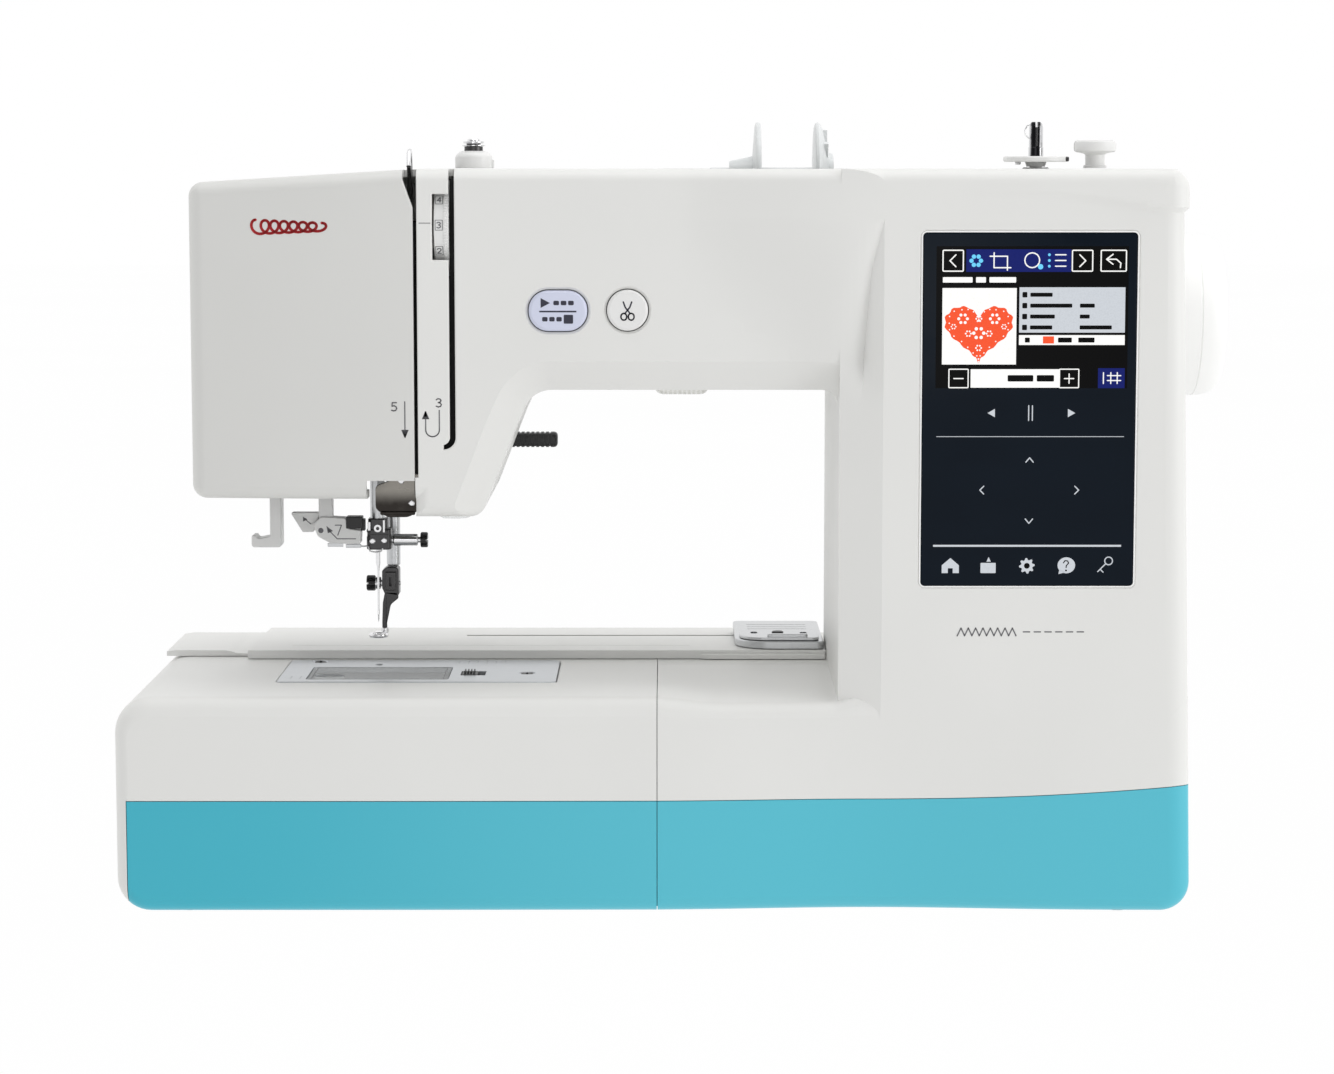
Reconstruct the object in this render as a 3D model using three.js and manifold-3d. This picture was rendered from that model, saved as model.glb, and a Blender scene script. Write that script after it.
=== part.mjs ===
// An electronic sewing and embroidery machine: base, column, arm and head casings over a cast frame,
// with the shaft train, needle bar, presser, rotary hook, bed plates, winder and spool stand.
// Millimetres, +Z up, +X towards the hand wheel, -Y towards the user; the origin is the bottom
// centre of the whole machine's box.
import * as THREE from 'three';
import { mergeVertices } from 'three/addons/utils/BufferGeometryUtils.js';
import Module from 'manifold-3d';

const wasm = await Module();
wasm.setup();

// ---------------------------------------------------------------- driving dimensions
const GAP = 0.3;               // clearance between pieces that meet
const RUNNING = 0.4;           // clearance round pieces that turn or slide
const WALL = 3;                // casing wall

const BASE_WIDTH = 443.3;      // bed and column, end to end
const BASE_DEPTH = 200;        // front of the base to its rear
const WHEEL_STANDOUT = 21.9;   // hand wheel beyond the casing's lowest right edge
const FOOT_HEIGHT = 2.5;
const BED_TOP = 92;            // sewing surface
const ARM_UNDERSIDE = 217.3;
const ARM_TOP = 307.5;
const HEAD_BOTTOM = 172.3;     // lower edge of the face cover
const NOSE_DROP = 7.2;         // how far the head's right part hangs below the face cover
const HEAD_TOP_FALL = 5.6;     // slope of the head's top towards its left end
const COLUMN_WIDTH = 145.7;    // right side to the throat, at the bed
const HEAD_SETBACK = 31.2;     // head's left side from the bed's left end
const FACE_WIDTH = 92.6;       // face cover, left side to the thread slot
const NOSE_WIDTH = 28.5;       // head bottom right of the thread slot
const HEAD_FLARE = [7.7, 34.8, 14.6, 17.4];   // steps of the head's right edge: dx, dz, dx, dz
const ARM_SETBACK = 12;        // arm front behind the base front
const ARM_DEPTH = 130;
const COLUMN_TAPER = 6.2;      // lean of the column's right side
const EDGE = 6;                // rounding of the casing's front and rear edges
const HARP_EDGE = 2;           // how many times wider the rounding is round the throat
const SEAM_OFFSET = 74.5;      // bed seam left of the throat's right side
const BAND_HEIGHT = 46.5;      // coloured band, up the base
const BAND_RISE = 8.3;         // extra height of the band at its right end

const SHAFT_INSET = 95;        // upper shaft axis and the split of the covers, behind the base front
const SHAFT_DROP = 63;         // upper shaft axis below the arm top
const SHAFT_RADIUS = 5;
const WHEEL_RADIUS = 34.5;
const WHEEL_WIDTH = 25;
const NEEDLE_INSET = 70.4;     // needle axis from the head's left side
const NEEDLE_LEAD = 5;         // needle in front of the upper shaft
const NEEDLE_BAR_RADIUS = 3.2;
const NEEDLE_STROKE = 34;
const CLAMP_LIFT = 51.4;       // underside of the needle clamp above the bed at rest
const PRESSER_LAG = 14;        // presser bar behind the needle bar
const PRESSER_BAR_RADIUS = 3;
const FOOT_LIFT = 12.7;        // embroidery foot above the bed, raised
const HOOK_RADIUS = 17;
const PLATE_SIZE = [118, 62];  // needle plate
const PLATE_THICKNESS = 2;
const SCREEN_SIZE = [86.6, 143.5];
const SCREEN_THICKNESS = 2.4;
const SCREEN_RIGHT = 26.1;     // screen's right edge from the base's right end
const SCREEN_TOP = 25.5;       // screen's top edge below the arm top
const SPOOL_RADIUS = 22.5;     // spool stand and spool cap discs
const SPOOL_TRAY_LENGTH = 84;
const DIAL_RADIUS = 19;
const DIAL_WIDTH = 6.8;
const WINDER_RADIUS = 13.8;

// ---------------------------------------------------------------- places that follow from them
const left = -(BASE_WIDTH + WHEEL_STANDOUT) / 2;
const right = left + BASE_WIDTH;
const front = -BASE_DEPTH / 2;
const rear = BASE_DEPTH / 2;
const throat = right - COLUMN_WIDTH;
const headLeft = left + HEAD_SETBACK;
const faceRight = headLeft + FACE_WIDTH;
const armFront = front + ARM_SETBACK;
const armRear = armFront + ARM_DEPTH;
const seam = throat - SEAM_OFFSET;
const shaftY = front + SHAFT_INSET;
const shaftZ = ARM_TOP - SHAFT_DROP;
const needleY = shaftY - NEEDLE_LEAD;
const presserY = needleY + PRESSER_LAG;
const needleX = headLeft + NEEDLE_INSET;
const bandTop = FOOT_HEIGHT + BAND_HEIGHT;
const top = ARM_TOP;

// ---------------------------------------------------------------- finishes
const finish = (color, roughness, metalness = 0) =>
  new THREE.MeshStandardMaterial({ color, roughness, metalness });
const shellWhite = finish(0xe3e3df, 0.45);
const partWhite = finish(0xdededb, 0.5);
const bandBlue = finish(0x4aaebd, 0.4);
const glassBlack = finish(0x10161f, 0.08);
const lavender = finish(0xd5dcf0, 0.4);
const steel = finish(0xb9bcc0, 0.3, 1);
const darkSteel = finish(0x4b4d50, 0.4, 1);
const chrome = finish(0xdcdde0, 0.12, 1);
const casting = finish(0xa8abae, 0.55, 1);
const blackPlastic = finish(0x1a1a1b, 0.5);
const greyPlastic = finish(0x8a8c8e, 0.5);
const clearPlastic = finish(0xdfe4e6, 0.15);
const rubber = finish(0x2a2a2b, 0.9);
const board = finish(0x1f5a3a, 0.6);

// ---------------------------------------------------------------- solids
// A manifold from a closed geometry.
function solid(geometry) {
  const bare = geometry.index ? geometry.clone() : geometry;
  bare.deleteAttribute('normal');
  bare.deleteAttribute('uv');
  const merged = mergeVertices(bare, 1e-4);
  return new wasm.Manifold(new wasm.Mesh({
    numProp: 3,
    vertProperties: new Float32Array(merged.attributes.position.array),
    triVerts: new Uint32Array(merged.index.array),
  }));
}

function geometryOf(body) {
  const mesh = body.getMesh();
  const geometry = new THREE.BufferGeometry();
  geometry.setAttribute('position', new THREE.BufferAttribute(mesh.vertProperties, 3));
  geometry.setIndex(new THREE.BufferAttribute(mesh.triVerts, 1));
  return geometry;
}

const join = (...bodies) => bodies.reduce((whole, body) => whole.add(body));
const cut = (whole, ...tools) => tools.reduce((body, tool) => body.subtract(tool), whole);

// A block between two opposite corners.
function block(x0, x1, y0, y1, z0, z1) {
  const geometry = new THREE.BoxGeometry(x1 - x0, y1 - y0, z1 - z0);
  geometry.translate((x0 + x1) / 2, (y0 + y1) / 2, (z0 + z1) / 2);
  return solid(geometry);
}

const FACING = {                // maps a shape's own x, y and depth onto the machine's axes
  x: new THREE.Matrix4().makeBasis(
    new THREE.Vector3(0, 1, 0), new THREE.Vector3(0, 0, 1), new THREE.Vector3(1, 0, 0)),
  y: new THREE.Matrix4().makeBasis(
    new THREE.Vector3(1, 0, 0), new THREE.Vector3(0, 0, 1), new THREE.Vector3(0, -1, 0)),
  z: new THREE.Matrix4(),
};

// An outline pushed along an axis from one place to another. Outlines across x are given in
// (y, z), across y in (x, z) and across z in (x, y).
function prism(axis, outline, from, to, holes = []) {
  const shape = outline instanceof THREE.Shape
    ? outline : new THREE.Shape(outline.map(([a, b]) => new THREE.Vector2(a, b)));
  shape.holes.push(...holes);
  const geometry = new THREE.ExtrudeGeometry(shape, {
    depth: to - from, bevelEnabled: false, curveSegments: 6 });
  geometry.applyMatrix4(FACING[axis]);
  const start = new THREE.Vector3();
  start[axis] = axis === 'y' ? to : from;
  geometry.translate(start.x, start.y, start.z);
  return solid(geometry);
}

// A rectangle with round corners, as a Shape.
function roundedRectangle(a0, a1, b0, b1, radius) {
  const shape = new THREE.Shape();
  const r = Math.min(radius, (a1 - a0) / 2 - 0.01, (b1 - b0) / 2 - 0.01);
  const arcs = [[a1 - r, b0 + r, -90], [a1 - r, b1 - r, 0], [a0 + r, b1 - r, 90], [a0 + r, b0 + r, 180]];
  shape.moveTo(a0 + r, b0);
  for (const [a, b, degrees] of arcs) {
    const start = THREE.MathUtils.degToRad(degrees);
    shape.absarc(a, b, r, start, start + Math.PI / 2, false);
  }
  return shape;
}

// A profile of [radius, place along the axis] turned about an axis through a centre.
function turned(axis, [x, y, z], profile, sides = 20) {
  const geometry = new THREE.LatheGeometry(profile.map(([r, h]) => new THREE.Vector2(r, h)), sides);
  if (axis === 'x') geometry.rotateZ(-Math.PI / 2);
  if (axis === 'z') geometry.rotateX(Math.PI / 2);
  geometry.translate(x, y, z);
  return solid(geometry);
}

// A plain round bar or bore from one place on its axis to another.
function bar(axis, [x, y, z], radius, from, to, sides = 20) {
  return turned(axis, [x, y, z], [[0, from], [radius, from], [radius, to], [0, to]], sides);
}

// The outline of a casing seen from the front, moved inwards. Each corner is
// { at: [x, z], radius, edge }, where edge is how many times wider the rounding of the side
// that leaves the corner is. Corners run anticlockwise.
function insetOutline(corners, wall, rounding, steps) {
  const count = corners.length;
  const sides = corners.map((corner, i) => {
    const next = corners[(i + 1) % count].at;
    const direction = new THREE.Vector2(next[0] - corner.at[0], next[1] - corner.at[1]).normalize();
    return { direction, inward: new THREE.Vector2(-direction.y, direction.x),
      depth: wall + rounding * (corner.edge ?? 1) };
  });
  const points = [];
  corners.forEach((corner, i) => {
    const before = sides[(i + count - 1) % count];
    const after = sides[i];
    const turn = before.direction.cross(after.direction);
    const place = new THREE.Vector2(...corner.at);
    if (Math.abs(turn) < 0.02) {
      points.push(place.addScaledVector(after.inward, (before.depth + after.depth) / 2));
      return;
    }
    place.x += (before.depth * after.inward.y - after.depth * before.inward.y) / turn;
    place.y += (before.inward.x * after.depth - after.inward.x * before.depth) / turn;
    if (!corner.radius) {
      points.push(place);
      return;
    }
    const sign = Math.sign(turn);
    const angle = Math.acos(THREE.MathUtils.clamp(before.direction.dot(after.direction), -1, 1));
    const radius = Math.max(corner.radius - sign * (before.depth + after.depth) / 2, 0.4);
    const centre = place.clone()
      .addScaledVector(before.direction, -radius * Math.tan(angle / 2))
      .addScaledVector(before.inward, sign * radius);
    for (let step = 0; step <= steps; step += 1) {
      const arm = before.inward.clone().multiplyScalar(-sign * radius);
      points.push(arm.rotateAround(new THREE.Vector2(), sign * angle * step / steps).add(centre));
    }
  });
  return points;
}

// A casing block: its outline from front to rear, with rounded front and rear edges.
function casing(corners, y0, y1, { wall = 0, edge = EDGE, steps = 4, rings = 3 } = {}) {
  const rounding = Math.max(edge - wall, 0.5);
  const sections = [];
  for (const [start, inwards] of [[y0 + wall, 1], [y1 - wall, -1]]) {
    const half = [];
    for (let ring = 0; ring <= rings; ring += 1) {
      const angle = Math.PI / 2 * ring / rings;
      const outline = insetOutline(corners, wall, rounding * (1 - Math.sin(angle)), steps);
      half.push({ y: start + inwards * rounding * (1 - Math.cos(angle)), outline });
    }
    sections.push(...(inwards > 0 ? half : half.reverse()));
  }
  const around = sections[0].outline.length;
  const positions = sections.flatMap(({ y, outline }) => outline.flatMap((p) => [p.x, y, p.y]));
  const index = [];
  for (let section = 0; section + 1 < sections.length; section += 1) {
    for (let i = 0; i < around; i += 1) {
      const a = section * around + i;
      const b = section * around + (i + 1) % around;
      index.push(a, b + around, b, a, a + around, b + around);
    }
  }
  const last = (sections.length - 1) * around;
  for (const [a, b, c] of THREE.ShapeUtils.triangulateShape(sections[0].outline, [])) {
    index.push(a, b, c);
  }
  for (const [a, b, c] of THREE.ShapeUtils.triangulateShape(sections.at(-1).outline, [])) {
    index.push(last + a, last + c, last + b);
  }
  const geometry = new THREE.BufferGeometry();
  geometry.setAttribute('position', new THREE.BufferAttribute(new Float32Array(positions), 3));
  geometry.setIndex(index);
  return solid(geometry);
}

const machine = new THREE.Group();

function piece(name, body, material) {
  const mesh = new THREE.Mesh(geometryOf(body), material);
  mesh.name = name;
  machine.add(mesh);
}

// ---------------------------------------------------------------- casings
// The base and column seen from the front, and the arm with the head.
const baseOutline = [
  { at: [left, FOOT_HEIGHT], radius: 14 },
  { at: [right + 1, FOOT_HEIGHT], radius: 12, edge: 1.6 },
  { at: [right - 1, BED_TOP], edge: 1.6 },
  { at: [left, BED_TOP], radius: 15 },
];
const columnOutline = [
  { at: [throat, FOOT_HEIGHT] },
  { at: [right + 1, FOOT_HEIGHT], radius: 12, edge: 1.6 },
  { at: [right - COLUMN_TAPER, ARM_TOP], radius: 8 },
  { at: [throat, ARM_TOP], edge: HARP_EDGE },
];
const noseRight = faceRight + NOSE_WIDTH;
const harpX = noseRight + HEAD_FLARE[0] + HEAD_FLARE[2];
const noseBottom = HEAD_BOTTOM - NOSE_DROP;
const armOutline = [
  { at: [headLeft, HEAD_BOTTOM], radius: 6 },
  { at: [faceRight, HEAD_BOTTOM] },
  { at: [faceRight, noseBottom] },
  { at: [noseRight, noseBottom], radius: 7, edge: HARP_EDGE },
  { at: [noseRight + HEAD_FLARE[0], ARM_UNDERSIDE - HEAD_FLARE[3]], radius: 24, edge: HARP_EDGE },
  { at: [harpX, ARM_UNDERSIDE], radius: 18, edge: HARP_EDGE },
  { at: [throat, ARM_UNDERSIDE], radius: 7, edge: HARP_EDGE },
  { at: [throat, BED_TOP - 40] },
  { at: [right - WALL, BED_TOP - 40] },
  { at: [right - COLUMN_TAPER - WALL, ARM_TOP] },
  { at: [headLeft + FACE_WIDTH, ARM_TOP] },
  { at: [headLeft, ARM_TOP - HEAD_TOP_FALL], radius: 6 },
];

const outer = join(
  casing(baseOutline, front, rear),
  casing(columnOutline, front, armRear),
  casing(armOutline, armFront, armRear));
const hollow = { wall: WALL, rings: 1, steps: 2 };
const cavity = join(
  casing(baseOutline, front, rear, hollow),
  casing(columnOutline, front, armRear, hollow),
  casing(armOutline, armFront, armRear, hollow),
  block(left + 20, right - 20, front + 12, rear - 12, FOOT_HEIGHT - 1, FOOT_HEIGHT + 20));

// Openings in the casing.
const trayX = throat - 74;                      // left wall of the spool tray's opening
const trayY = [shaftY - 17, shaftY - 6 + SPOOL_RADIUS * 2];
const screenX = [right - SCREEN_RIGHT - SCREEN_SIZE[0], right - SCREEN_RIGHT];
const screenZ = [ARM_TOP - SCREEN_TOP - SCREEN_SIZE[1], ARM_TOP - SCREEN_TOP];
const slotX = [faceRight + 14.4, faceRight + 16.8];
const dialX = slotX[0] - 6.7;                   // left edge of the dial's window
const dialZ = ARM_TOP - 23.5;
const startAt = [harpX + 8.1, ARM_UNDERSIDE + 32.7];
const cutterAt = [startAt[0] + 28.4, startAt[1] + 0.2];
const START_SIZE = [12, 8.3];
const CUTTER_RADIUS = 8.4;
const plateX = [needleX - 39.4, needleX - 39.4 + PLATE_SIZE[0]];
const plateY = [needleY + 14 - PLATE_SIZE[1], needleY + 14];
const winderAt = [right - 59, shaftY - 15];
const WINDER_SWING = 30;                        // winder pivot to spindle
const pretensionAt = [faceRight + 22.2, shaftY - 35];
const spoolAxis = [(trayY[0] + trayY[1]) / 2, ARM_TOP - 2.5];
const handleX = [harpX + 2, throat + 36];
const HANDLE = { arm: 10, thickness: 8, pivotY: armRear - 34, grip: 12 };
const inletAt = [shaftY + 33, FOOT_HEIGHT + 29.5];                       // power inlet's centre, y and z
const switchAt = [inletAt[0] + 26, inletAt[1]];

const ovalShape = (x, z, a, b) => new THREE.Shape().absellipse(x, z, a, b, 0, Math.PI * 2);
const openings = [
  block(trayX - GAP, trayX + SPOOL_TRAY_LENGTH + GAP, trayY[0] - GAP, trayY[1] + GAP, top - 10, top + 5),
  block(screenX[0] - GAP, screenX[1] + GAP, front - 5, front + 9, screenZ[0] - GAP, screenZ[1] + GAP),
  block(dialX, slotX[1], armFront - 5, armFront + 12, dialZ - 13.4, dialZ + 13.4),
  block(slotX[0], slotX[1], armFront - 5, armFront + 45, noseBottom + 32, top + 5),
  block(faceRight, faceRight + 1.4, armFront - 5, armFront + 45, noseBottom + 16.5, top + 5),
  block(faceRight - 8.2, faceRight + 1.4, armFront + 14, armFront + 74, top - 20, top + 5),
  prism('y', [[faceRight - 4.4, top + 5], [faceRight - 4.4, top - 4], [faceRight, top - 16],
    [faceRight + 1.4, top - 16], [faceRight + 1.4, top + 5]], armFront - 5, armFront + 20),
  prism('y', ovalShape(...startAt, START_SIZE[0] + RUNNING, START_SIZE[1] + RUNNING),
    armFront - 5, armFront + 9),
  bar('y', [cutterAt[0], 0, cutterAt[1]], CUTTER_RADIUS + RUNNING, armFront - 5, armFront + 9, 24),
  block(headLeft + 12, faceRight - 0.3, armFront + 16, armRear - 12, HEAD_BOTTOM - 5, HEAD_BOTTOM + 9),
  block(faceRight - 20.1, faceRight, armFront - 5, armFront + 17, HEAD_BOTTOM - 5, HEAD_BOTTOM + 8),
  block(plateX[0] - GAP, plateX[1] + GAP, plateY[0] - GAP, plateY[1] + GAP, BED_TOP - 8, BED_TOP + 5),
  bar('x', [0, shaftY, shaftZ], 9, right - 20, right + 20, 16),
  block(winderAt[0] - 7, winderAt[0] + 13, winderAt[1] - 7, winderAt[1] + 7, top - 10, top + 5),
  block(right - 20, right + 20, inletAt[0] - 14.5, inletAt[0] + 14.5, inletAt[1] - 11.5, inletAt[1] + 11.5),
  block(right - 20, right + 20, switchAt[0] - 8, switchAt[0] + 8, switchAt[1] - 11.5, switchAt[1] + 11.5),
];
// Pockets for the folded handle, walled off from the inside.
function handlePocket(margin) {
  const [x0, x1] = handleX;
  const depth = HANDLE.thickness + 3.2 + margin;
  const y0 = HANDLE.pivotY - 7 - margin;
  return join(
    block(x0 - 1 - margin, x0 + HANDLE.arm + 1 + margin, y0, armRear + 20, top - depth, top + 20),
    block(x1 - HANDLE.arm - 1 - margin, x1 + 1 + margin, y0, armRear + 20, top - depth, top + 20));
}
const shell = cut(outer, cut(cavity, handlePocket(WALL)), handlePocket(0), ...openings);

// The coloured band's region: the lower front of the base, and round its right side.
function bandRegion(grow) {
  const outline = [
    [seam, FOOT_HEIGHT - 5], [right + 20, FOOT_HEIGHT - 5],
    [right + 20, bandTop + BAND_RISE + grow], [right - 50, bandTop + BAND_RISE * 0.35 + grow],
    [right - 130, bandTop + grow], [seam, bandTop + grow]];
  const leftPart = block(left + 5 - grow, seam + 1, front - 5, front + 30 + grow,
    FOOT_HEIGHT - 5, bandTop + grow);
  return join(prism('y', outline, front - 5, shaftY - GAP + grow), leftPart);
}
const FAR = 500;
const half = GAP / 2;
const leftOf = (x) => block(-FAR, x - half, -FAR, FAR, -10, FAR);
const rightOf = (x) => block(x + half, FAR, -FAR, FAR, -10, FAR);
const frontOf = (y) => block(-FAR, FAR, -FAR, y - half, -10, FAR);
const behind = (y) => block(-FAR, FAR, y + half, FAR, -10, FAR);
const below = (z) => block(-FAR, FAR, -FAR, FAR, -10, z);
const above = (z) => block(-FAR, FAR, -FAR, FAR, z, FAR);
const bedZone = BED_TOP + 30;

const bands = shell.intersect(bandRegion(0));
const painted = shell.subtract(bandRegion(GAP));
piece('bed_band_left', bands.intersect(leftOf(seam)).intersect(below(bedZone)), bandBlue);
piece('bed_band_right', bands.intersect(rightOf(seam)), bandBlue);
piece('bed_cover', painted.intersect(leftOf(seam)).intersect(below(bedZone)), shellWhite);
const upper = join(painted.intersect(rightOf(seam)), painted.intersect(above(bedZone)));
const face = upper.intersect(leftOf(faceRight)).intersect(above(bedZone));
const main = upper.intersect(join(rightOf(faceRight).intersect(above(bedZone)),
  rightOf(seam).intersect(below(bedZone + 1))));
piece('face_cover', face, shellWhite);
piece('front_cover', main.intersect(frontOf(shaftY)), shellWhite);
piece('rear_cover', main.intersect(behind(shaftY)), shellWhite);

// ---------------------------------------------------------------- base plate and feet
const footPlaces = [['front_left', left + 28, front + 24], ['front_right', right - 28, front + 24],
  ['rear_left', left + 28, rear - 24], ['rear_right', right - 28, rear - 24]];
const FOOT_RADIUS = 9;
const FOOT_STEM = 3;
const PLATE_FLOOR = 3;
let basePlate = block(left + 20 + GAP, right - 20 - GAP, front + 12 + GAP, rear - 12 - GAP,
  FOOT_HEIGHT, FOOT_HEIGHT + PLATE_FLOOR);
for (const [name, x, y] of footPlaces) {
  basePlate = basePlate.subtract(bar('z', [x, y, 0], FOOT_STEM + GAP, -1, FOOT_HEIGHT + 9, 12));
  const foot = [[0, 0], [FOOT_RADIUS - 1, 0], [FOOT_RADIUS, 0.8], [FOOT_RADIUS, FOOT_HEIGHT - GAP],
    [FOOT_STEM, FOOT_HEIGHT - GAP], [FOOT_STEM, FOOT_HEIGHT + 5], [0, FOOT_HEIGHT + 5]];
  piece(`foot_${name}`, turned('z', [x, y, 0], foot, 16), rubber);
}
piece('base_plate', basePlate, greyPlastic);

// ---------------------------------------------------------------- cast frame, bushes, shaft train
const bushLeftX = needleX + 24;
const bushRightX = right - 60;
const BUSH_RADIUS = SHAFT_RADIUS + 3;
const frameY = [shaftY + 32, shaftY + 38];
const frameTop = shaftZ + 28;
const guideX = [needleX - 9, needleX + 13];
const floorZ = FOOT_HEIGHT + PLATE_FLOOR + 1.5;
const plateOutline = [[guideX[0], frameTop], [guideX[0], noseBottom + 22],
  [bushLeftX, noseBottom + 22], [harpX, ARM_UNDERSIDE + 10], [throat + 12, ARM_UNDERSIDE + 10],
  [throat + 12, BED_TOP - 12], [left + 24, BED_TOP - 12], [left + 24, floorZ], [right - 26, floorZ],
  [right - 26, frameTop], ];
let mainFrame = join(
  prism('y', plateOutline, ...frameY),
  block(left + 24, right - 26, front + 30, frameY[1], floorZ, floorZ + 4),
  block(bushLeftX - 6, bushLeftX + 6, shaftY - 12, frameY[1], shaftZ - 12, shaftZ + 12),
  block(bushRightX - 6, bushRightX + 6, shaftY - 12, frameY[1], shaftZ - 12, shaftZ + 12),
  block(...guideX, needleY - 8, frameY[1], noseBottom + 22, noseBottom + 30),
  block(...guideX, needleY - 8, frameY[1], frameTop - 8, frameTop));
const presserX = needleX + 5.6;
mainFrame = cut(mainFrame,
  bar('z', [needleX, needleY, 0], NEEDLE_BAR_RADIUS + RUNNING, noseBottom, top, 16),
  bar('z', [presserX, presserY, 0], PRESSER_BAR_RADIUS + RUNNING, noseBottom, top, 16),
  bar('x', [0, shaftY, shaftZ], BUSH_RADIUS + GAP, bushLeftX - 10, right, 20));
piece('main_frame', mainFrame, casting);

const ring = (axis, centre, inner, outerRadius, from, to, sides = 20) => turned(axis, centre,
  [[inner, from], [outerRadius, from], [outerRadius, to], [inner, to], [inner, from]], sides);
const shaftLine = [0, shaftY, shaftZ];
piece('shaft_bush_left', ring('x', shaftLine, SHAFT_RADIUS + 0.3, BUSH_RADIUS,
  bushLeftX - 7, bushLeftX + 7), steel);
piece('shaft_bush_right', ring('x', shaftLine, SHAFT_RADIUS + 0.3, BUSH_RADIUS,
  bushRightX - 7, bushRightX + 7), steel);

// The upper shaft with the crank disc forged on its left end.
const wheelX = [right + WHEEL_STANDOUT - WHEEL_WIDTH, right + WHEEL_STANDOUT];
const crankX = [needleX + 10.4, needleX + 15];
const CRANK_RADIUS = 19;
const CRANK_THROW = NEEDLE_STROKE / 2;
piece('upper_shaft', join(
  bar('x', shaftLine, SHAFT_RADIUS, crankX[0] + 1, wheelX[0] + 8),
  bar('x', shaftLine, CRANK_RADIUS, ...crankX, 24),
  bar('x', [0, shaftY, shaftZ + CRANK_THROW - 4], 2.5, crankX[0] - 1.4, crankX[1] - 1, 12)), steel);

const pulleyX = [bushRightX + 10, bushRightX + 20];
const PULLEY_RADIUS = 26;
const MOTOR_PULLEY_RADIUS = 8;
const MOTOR_DROP = 110;
const motorLine = [0, shaftY, shaftZ - MOTOR_DROP];
piece('shaft_pulley', ring('x', shaftLine, SHAFT_RADIUS + GAP, PULLEY_RADIUS, ...pulleyX, 28), blackPlastic);
piece('drive_motor', join(
  bar('x', motorLine, 21, pulleyX[0] - 62, pulleyX[0] - 6, 20),
  bar('x', motorLine, 7, pulleyX[0] - 7, pulleyX[0] - 3, 16)), darkSteel);
piece('motor_pulley', bar('x', motorLine, MOTOR_PULLEY_RADIUS, pulleyX[0] - 1, pulleyX[1], 20), steel);

// The timing belt: an open-sided loop round both pulleys.
function beltLoop(clearance) {
  const reach = MOTOR_DROP;
  const big = PULLEY_RADIUS + clearance;
  const small = MOTOR_PULLEY_RADIUS + clearance;
  const lean = Math.asin((big - small) / reach);
  const shape = new THREE.Shape();
  shape.absarc(shaftY, shaftZ, big, -lean, Math.PI + lean, false);
  shape.absarc(shaftY, shaftZ - reach, small, Math.PI + lean, Math.PI * 2 - lean, false);
  return shape;
}
const BELT_THICKNESS = 1.8;
const BELT_INSET = 1.5;
piece('timing_belt', cut(
  prism('x', beltLoop(GAP + BELT_THICKNESS), pulleyX[0] + BELT_INSET, pulleyX[1] - BELT_INSET),
  prism('x', beltLoop(GAP), pulleyX[0], pulleyX[1])), rubber);

// The hand wheel: a rimmed cap with a hub that takes the end of the upper shaft.
const wheelHub = wheelX[0] - 6;
piece('handwheel', turned('x', shaftLine, [
  [SHAFT_RADIUS + GAP, wheelHub], [8, wheelHub], [8, wheelX[0] + 2], [WHEEL_RADIUS - 4, wheelX[0] + 2],
  [WHEEL_RADIUS - 1.5, wheelX[0]], [WHEEL_RADIUS, wheelX[0] + 2], [WHEEL_RADIUS, wheelX[1] - 8],
  [WHEEL_RADIUS - 1.4, wheelX[1] - 3.4], [WHEEL_RADIUS - 5, wheelX[1] - 0.6], [WHEEL_RADIUS - 9, wheelX[1]],
  [0, wheelX[1] - 1.5], [0, wheelX[0] + 8 + GAP], [SHAFT_RADIUS + GAP, wheelX[0] + 8 + GAP],
  [SHAFT_RADIUS + GAP, wheelHub]], 40), partWhite);

// ---------------------------------------------------------------- hook train under the bed
const hookAt = [needleX, needleY - HOOK_RADIUS - 2];
const hookTop = BED_TOP - PLATE_THICKNESS - 4;
const hookFloor = hookTop - 18;
const lowerZ = hookFloor - 20;
piece('lower_shaft', join(
  bar('x', [0, hookAt[1], lowerZ], 4, hookAt[0] + 16, pulleyX[1] - 12, 14),
  bar('x', [0, hookAt[1], lowerZ], 12, hookAt[0] + 16, hookAt[0] + 24, 20)), steel);
piece('rotary_hook', turned('z', [...hookAt, 0], [
  [0, hookFloor - 14], [6, hookFloor - 14], [6, hookFloor - 6], [5, hookFloor - 6], [5, hookFloor],
  [HOOK_RADIUS, hookFloor], [HOOK_RADIUS, hookTop], [HOOK_RADIUS - 1.6, hookTop],
  [HOOK_RADIUS - 1.6, hookFloor + 2], [0, hookFloor + 2]], 28), steel);
const caseRadius = HOOK_RADIUS - 1.6 - RUNNING;
piece('bobbin_case', turned('z', [...hookAt, 0], [
  [0, hookFloor + 2.6], [caseRadius, hookFloor + 2.6], [caseRadius, hookTop - 1],
  [caseRadius - 1.6, hookTop - 1], [caseRadius - 1.6, hookFloor + 4.2], [0, hookFloor + 4.2]], 28),
blackPlastic);
const BOBBIN_RADIUS = 10.2;
piece('bobbin', turned('z', [...hookAt, 0], [
  [3, hookFloor + 4.8], [BOBBIN_RADIUS, hookFloor + 4.8], [BOBBIN_RADIUS, hookFloor + 5.8],
  [4.5, hookFloor + 5.8], [4.5, hookFloor + 15], [BOBBIN_RADIUS, hookFloor + 15],
  [BOBBIN_RADIUS, hookFloor + 16], [3, hookFloor + 16], [3, hookFloor + 4.8]], 24), clearPlastic);

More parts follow.
